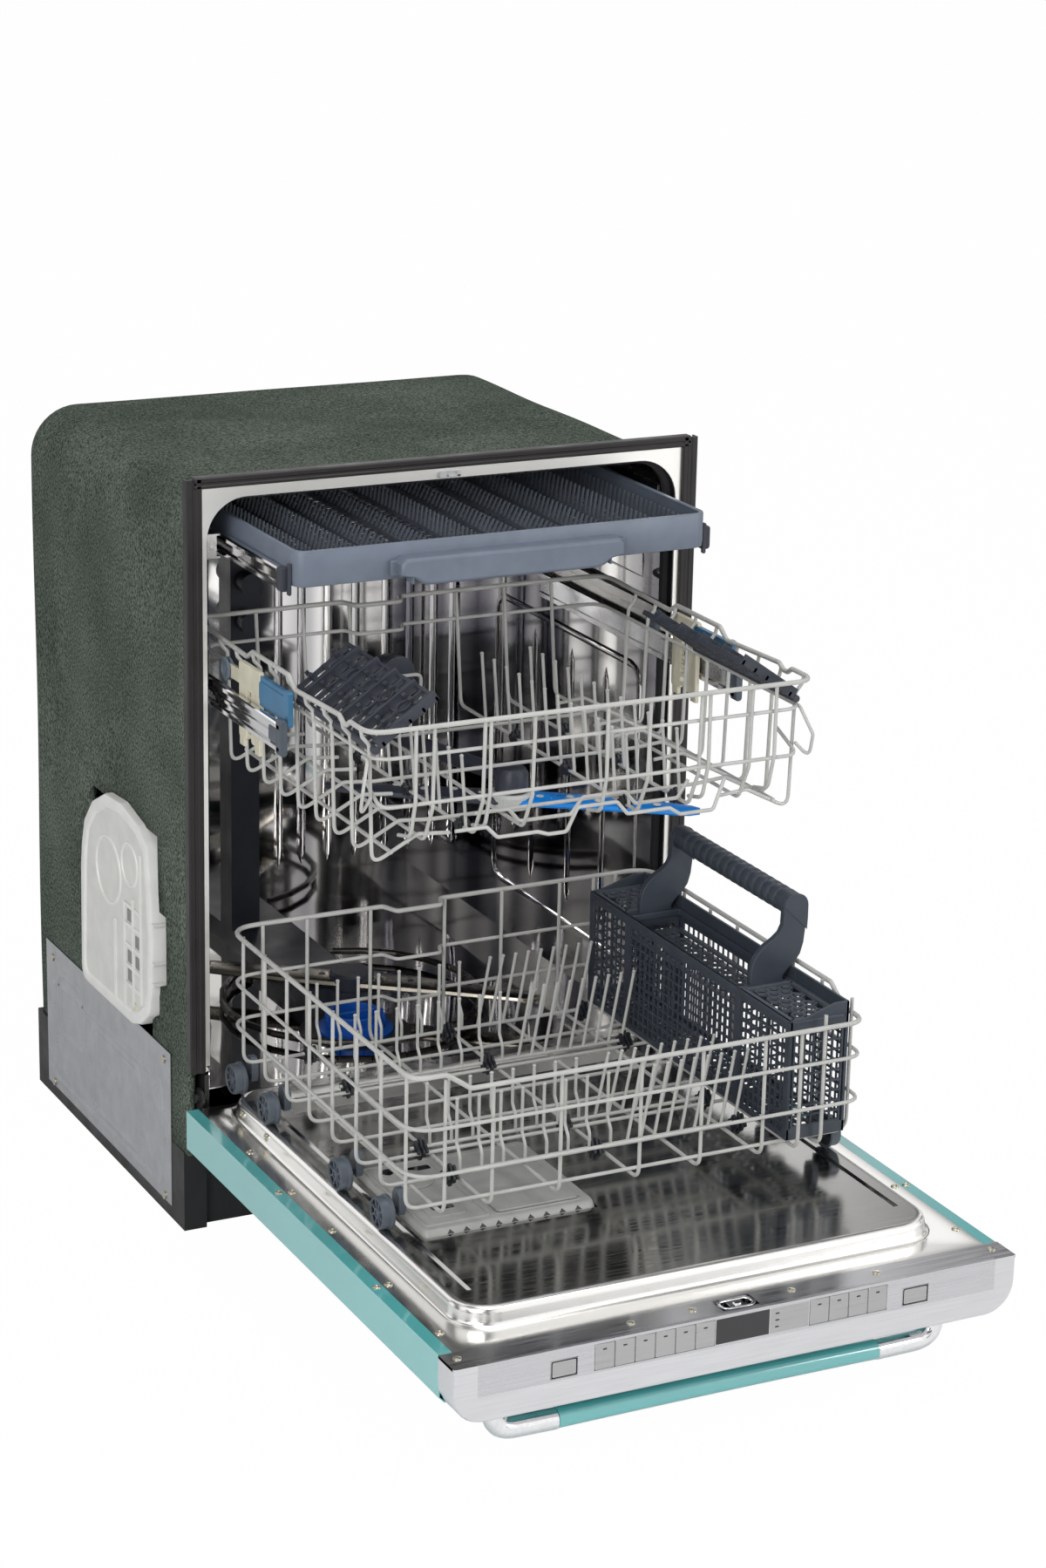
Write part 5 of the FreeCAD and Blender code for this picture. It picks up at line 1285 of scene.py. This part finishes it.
def spray_arms():
    """A steel and a blue spray arm with nozzles and ribbed grey hubs; half of the blue one is painted dark
    grey as painted shade.
    """
    steel, blue = ["arm_steel", "conduit_grey", "conduit_grey"], ["blue_plastic", "hub_grey", "conduit_grey"]
    arms = (("lower_spray_arm", LOWER_ARM, -39, (224, 46, 166, 175), (25.5, 163.4, 181.6), steel, 0),
            ("upper_spray_arm", UPPER_ARM, -36, (198, 42, 499, 508), (23.5, 495.2, 510.5), blue, 20))
    nozzle = [(4.4, 0), (3.8, 0.7), (1.6, 0.7), (1.2, 0.2), (0.3, 0.1)]
    for name, (x, y), angle, sizes, (hub, base, cap), mats, dark in arms:
        half, high = sizes[0], sizes[3]
        turn = spin(angle, "Z")
        rings = [[turn @ Vector(p) + Vector((x, y, 0)) for p in ring] for ring in arm_rings(*sizes)]
        shape = Shape()
        # Painted shade: the rings up to this count are dark grey conduit_grey on the blue arm.
        if dark:
            shape.paint(2).loops(rings[:dark + 1])
        shape.paint(0).loops(rings[dark:])
        shape.paint(1)
        for k in (-5, -4, -3, -2, -1, 1, 2, 3, 4, 5):
            place = turn @ Vector((half * 0.155 * k, 3 * (-1) ** k, 0)) + Vector((x, y, high - 0.6))
            shape.turned(nozzle, place, "z", 14)
        rows = [(8.6, base), (hub, base), (hub, cap - 3), (hub - 2.5, cap), (8.6, cap)]
        shape.turned(rows, (x, y, 0), "z", 36)
        for k in range(18):
            xs = (x + hub - 1.0, x + hub + 0.45)
            shape.box(xs, around(y, 1.6), (base + 1, cap - 3), spin(20 * k, "Z"), (x, y, 0))
        shape.piece(name + "_shell", mats, name, name)


def filter_cup():
    """The filter: a blue cup with a collar, a ribbed neck and a bar to grip."""
    x, y = -30, 165
    rows = [(35.6, 81), (35.6, 139), (43.6, 140.4), (43.6, 144.6), (34, 145), (34, 152), (29.6, 155),
            (29.6, 162), (28.4, 163), (26.6, 163), (26, 161), (26, 84), (2, 83)]
    shape = Shape().turned(rows, (x, y, 0), "z", 36)
    for k in range(12):
        shape.box((x + 29.2, x + 34.6), around(y, 2.2), (144, 161), spin(30 * k, "Z"), (x, y, 0))
    shape.box(around(x, 27.6), around(y, 2.8), (146, 162.6))
    shape.piece("filter_grip", "filter_blue", "filter_cup", "filter_cup", bevel=0.4)


def feed_nozzle():
    """The rack's dark feed tube with a round intake, a hub above the arm and a wire guard."""
    x, y, z = -40, 54, 596
    shape = Shape()
    shape.wire([(x, y, z), (x, y, 524), (*UPPER_ARM, 524)], 9.0, 20, sides=16)
    shape.turned([(9, -8), (14.4, -7.6), (14.8, -4), (14.8, 14), (12, 18), (8, 18)], (x, y, z), "y", 28)
    shape.prism(round_rect(-55, -25, 586, 608, 4, 4), "y", 44, 56)
    shape.turned([(17.8, 511.1), (17.8, 530), (14, 536), (4, 536.8)], (*UPPER_ARM, 0), "z", 28)
    shape.turned([(16, -10), (19.5, -9), (19.5, -2), (17, 2), (9, 2)], (x, y - 10, z), "y", 28)
    shape.prism(round_rect(-54, -26, 548, 582, 4, 4), "y", 42, 58)
    shape.prism(round_rect(-50, -30, 554, 572, 3, 4), "y", 38, 44)
    shape.piece("feed_tube", "conduit_grey", "upper_rack", "upper_feed_tube")
    guard = Shape()
    guard.wire([(-14, 36, 556), (-14, 33, 594), (-56, 33, 594), (-56, 36, 548)], WIRE, 8)
    guard.piece("feed_guard", "rack_coating", "upper_rack", slot="rack_coating")


for make in (cutlery_tray, tray_rails, basket, basket_handle, wheels, sound_blanket, tank, side_panels,
             tub_ribs, trim, strike, console, keys, handle, liner, dispenser, lower_rack, folding_tines,
             upper_rack, cup_shelves, rails, adjusters, spray_arms, filter_cup, feed_nozzle):
    make()


# Floor, light and camera

def floor_material():
    """Matt white that the camera sees as an almost even white."""
    made = Paint("floor", (0.9, 0.9, 0.9), 0.8).tint(3.0, 0.01).relief(80.0, 0.0002, 0.1)
    seen = made.node("LightPath").outputs["Is Camera Ray"]
    share = made.node("Math", {0: seen, 1: 0.985}, operation="MULTIPLY").outputs[0]
    glow = made.node("Emission", Color=WHITE, Strength=1.0).outputs[0]
    mix = made.node("MixShader", {0: share, 1: made.shader.outputs[0], 2: glow})
    made.feed(made.tree.nodes["Material Output"].inputs["Surface"], mix.outputs[0])
    return made.mat


def make_floor():
    mesh = bpy.data.meshes.new("studio_floor")
    reach = 14.0
    corners = [(-reach, -reach, 0), (reach, -reach, 0), (reach, reach, 0), (-reach, reach, 0)]
    mesh.from_pydata(corners, [], [(0, 1, 2, 3)])
    floor = bpy.data.objects.new("studio_floor", mesh)
    SCENE.collection.objects.link(floor)
    mesh.materials.append(floor_material())


def make_world():
    """White to the camera, dimmer as light, and bright and dark cards in reflections."""
    world = bpy.data.worlds.new("studio")
    SCENE.world = world
    world.use_nodes = True
    graph = Graph(world.node_tree)
    rays = graph.node("LightPath").outputs
    seen = graph.node("Math", {0: rays["Is Camera Ray"], 1: rays["Is Transmission Ray"]}, operation="MAXIMUM")
    level = graph.node("MapRange", Value=seen.outputs[0], To_Min=0.42, To_Max=1.0)
    place = graph.node("TexCoord").outputs["Generated"]
    place = graph.node("Mapping", Vector=place, Scale=(1.0, 1.0, 0.3)).outputs["Vector"]
    cards = graph.node("TexNoise", Vector=place, Scale=3.0, Detail=1.0).outputs["Fac"]
    bands = graph.node("MapRange", Value=cards, From_Min=0.4, From_Max=0.56, To_Min=0.12, To_Max=1.15)
    choices = {0: rays["Is Glossy Ray"], 2: level.outputs["Result"], 3: bands.outputs["Result"]}
    back = graph.tree.nodes["Background"].inputs
    graph.feed(back["Color"], WHITE)
    graph.feed(back["Strength"], graph.node("Mix", choices).outputs[0])


def area_light(name, place, target, size, power):
    data = bpy.data.lights.new(name, "AREA")
    data.shape = "RECTANGLE"
    data.size = data.size_y = size
    data.energy = power
    lamp = bpy.data.objects.new(name, data)
    SCENE.collection.objects.link(lamp)
    lamp.location = place
    lamp.rotation_mode = "QUATERNION"
    lamp.rotation_quaternion = (Vector(target) - Vector(place)).to_track_quat("-Z", "Y")


def make_camera():
    """The photograph's camera, found by fitting corners of the frame, door, panel and blanket."""
    yaw, pitch, roll, focal = 0.468, 0.306, 0.021, 4171.2
    picture_height, sensor = 1799.0, 36.0
    ahead = Vector((math.sin(yaw) * math.cos(pitch), math.cos(yaw) * math.cos(pitch), -math.sin(pitch)))
    right = Vector((math.cos(yaw), -math.sin(yaw), 0.0))
    up = right.cross(ahead)
    side = right * math.cos(roll) + up * math.sin(roll)
    top = up * math.cos(roll) - right * math.sin(roll)
    data = bpy.data.cameras.new("camera")
    data.sensor_fit = "VERTICAL"
    data.sensor_height = sensor
    data.lens = focal / picture_height * sensor
    data.clip_end = 60.0
    camera = bpy.data.objects.new("camera", data)
    SCENE.collection.objects.link(camera)
    turn = Matrix((side, top, -ahead)).transposed()
    camera.matrix_world = Matrix.Translation(P(-1607.3, -3366.2, 1658.0)) @ turn.to_4x4()
    SCENE.camera = camera


make_floor()
make_world()
area_light("key", (-3.0, -3.2, 2.2), (0, -0.2, 0.4), 2.0, 105)
area_light("fill", (2.6, -3.2, 1.6), (0, -0.2, 0.4), 1.6, 45)
area_light("top", (0.2, -1.2, 3.4), (0, -0.4, 0.4), 1.8, 35)
make_camera()
SCENE.view_settings.view_transform = "Standard"
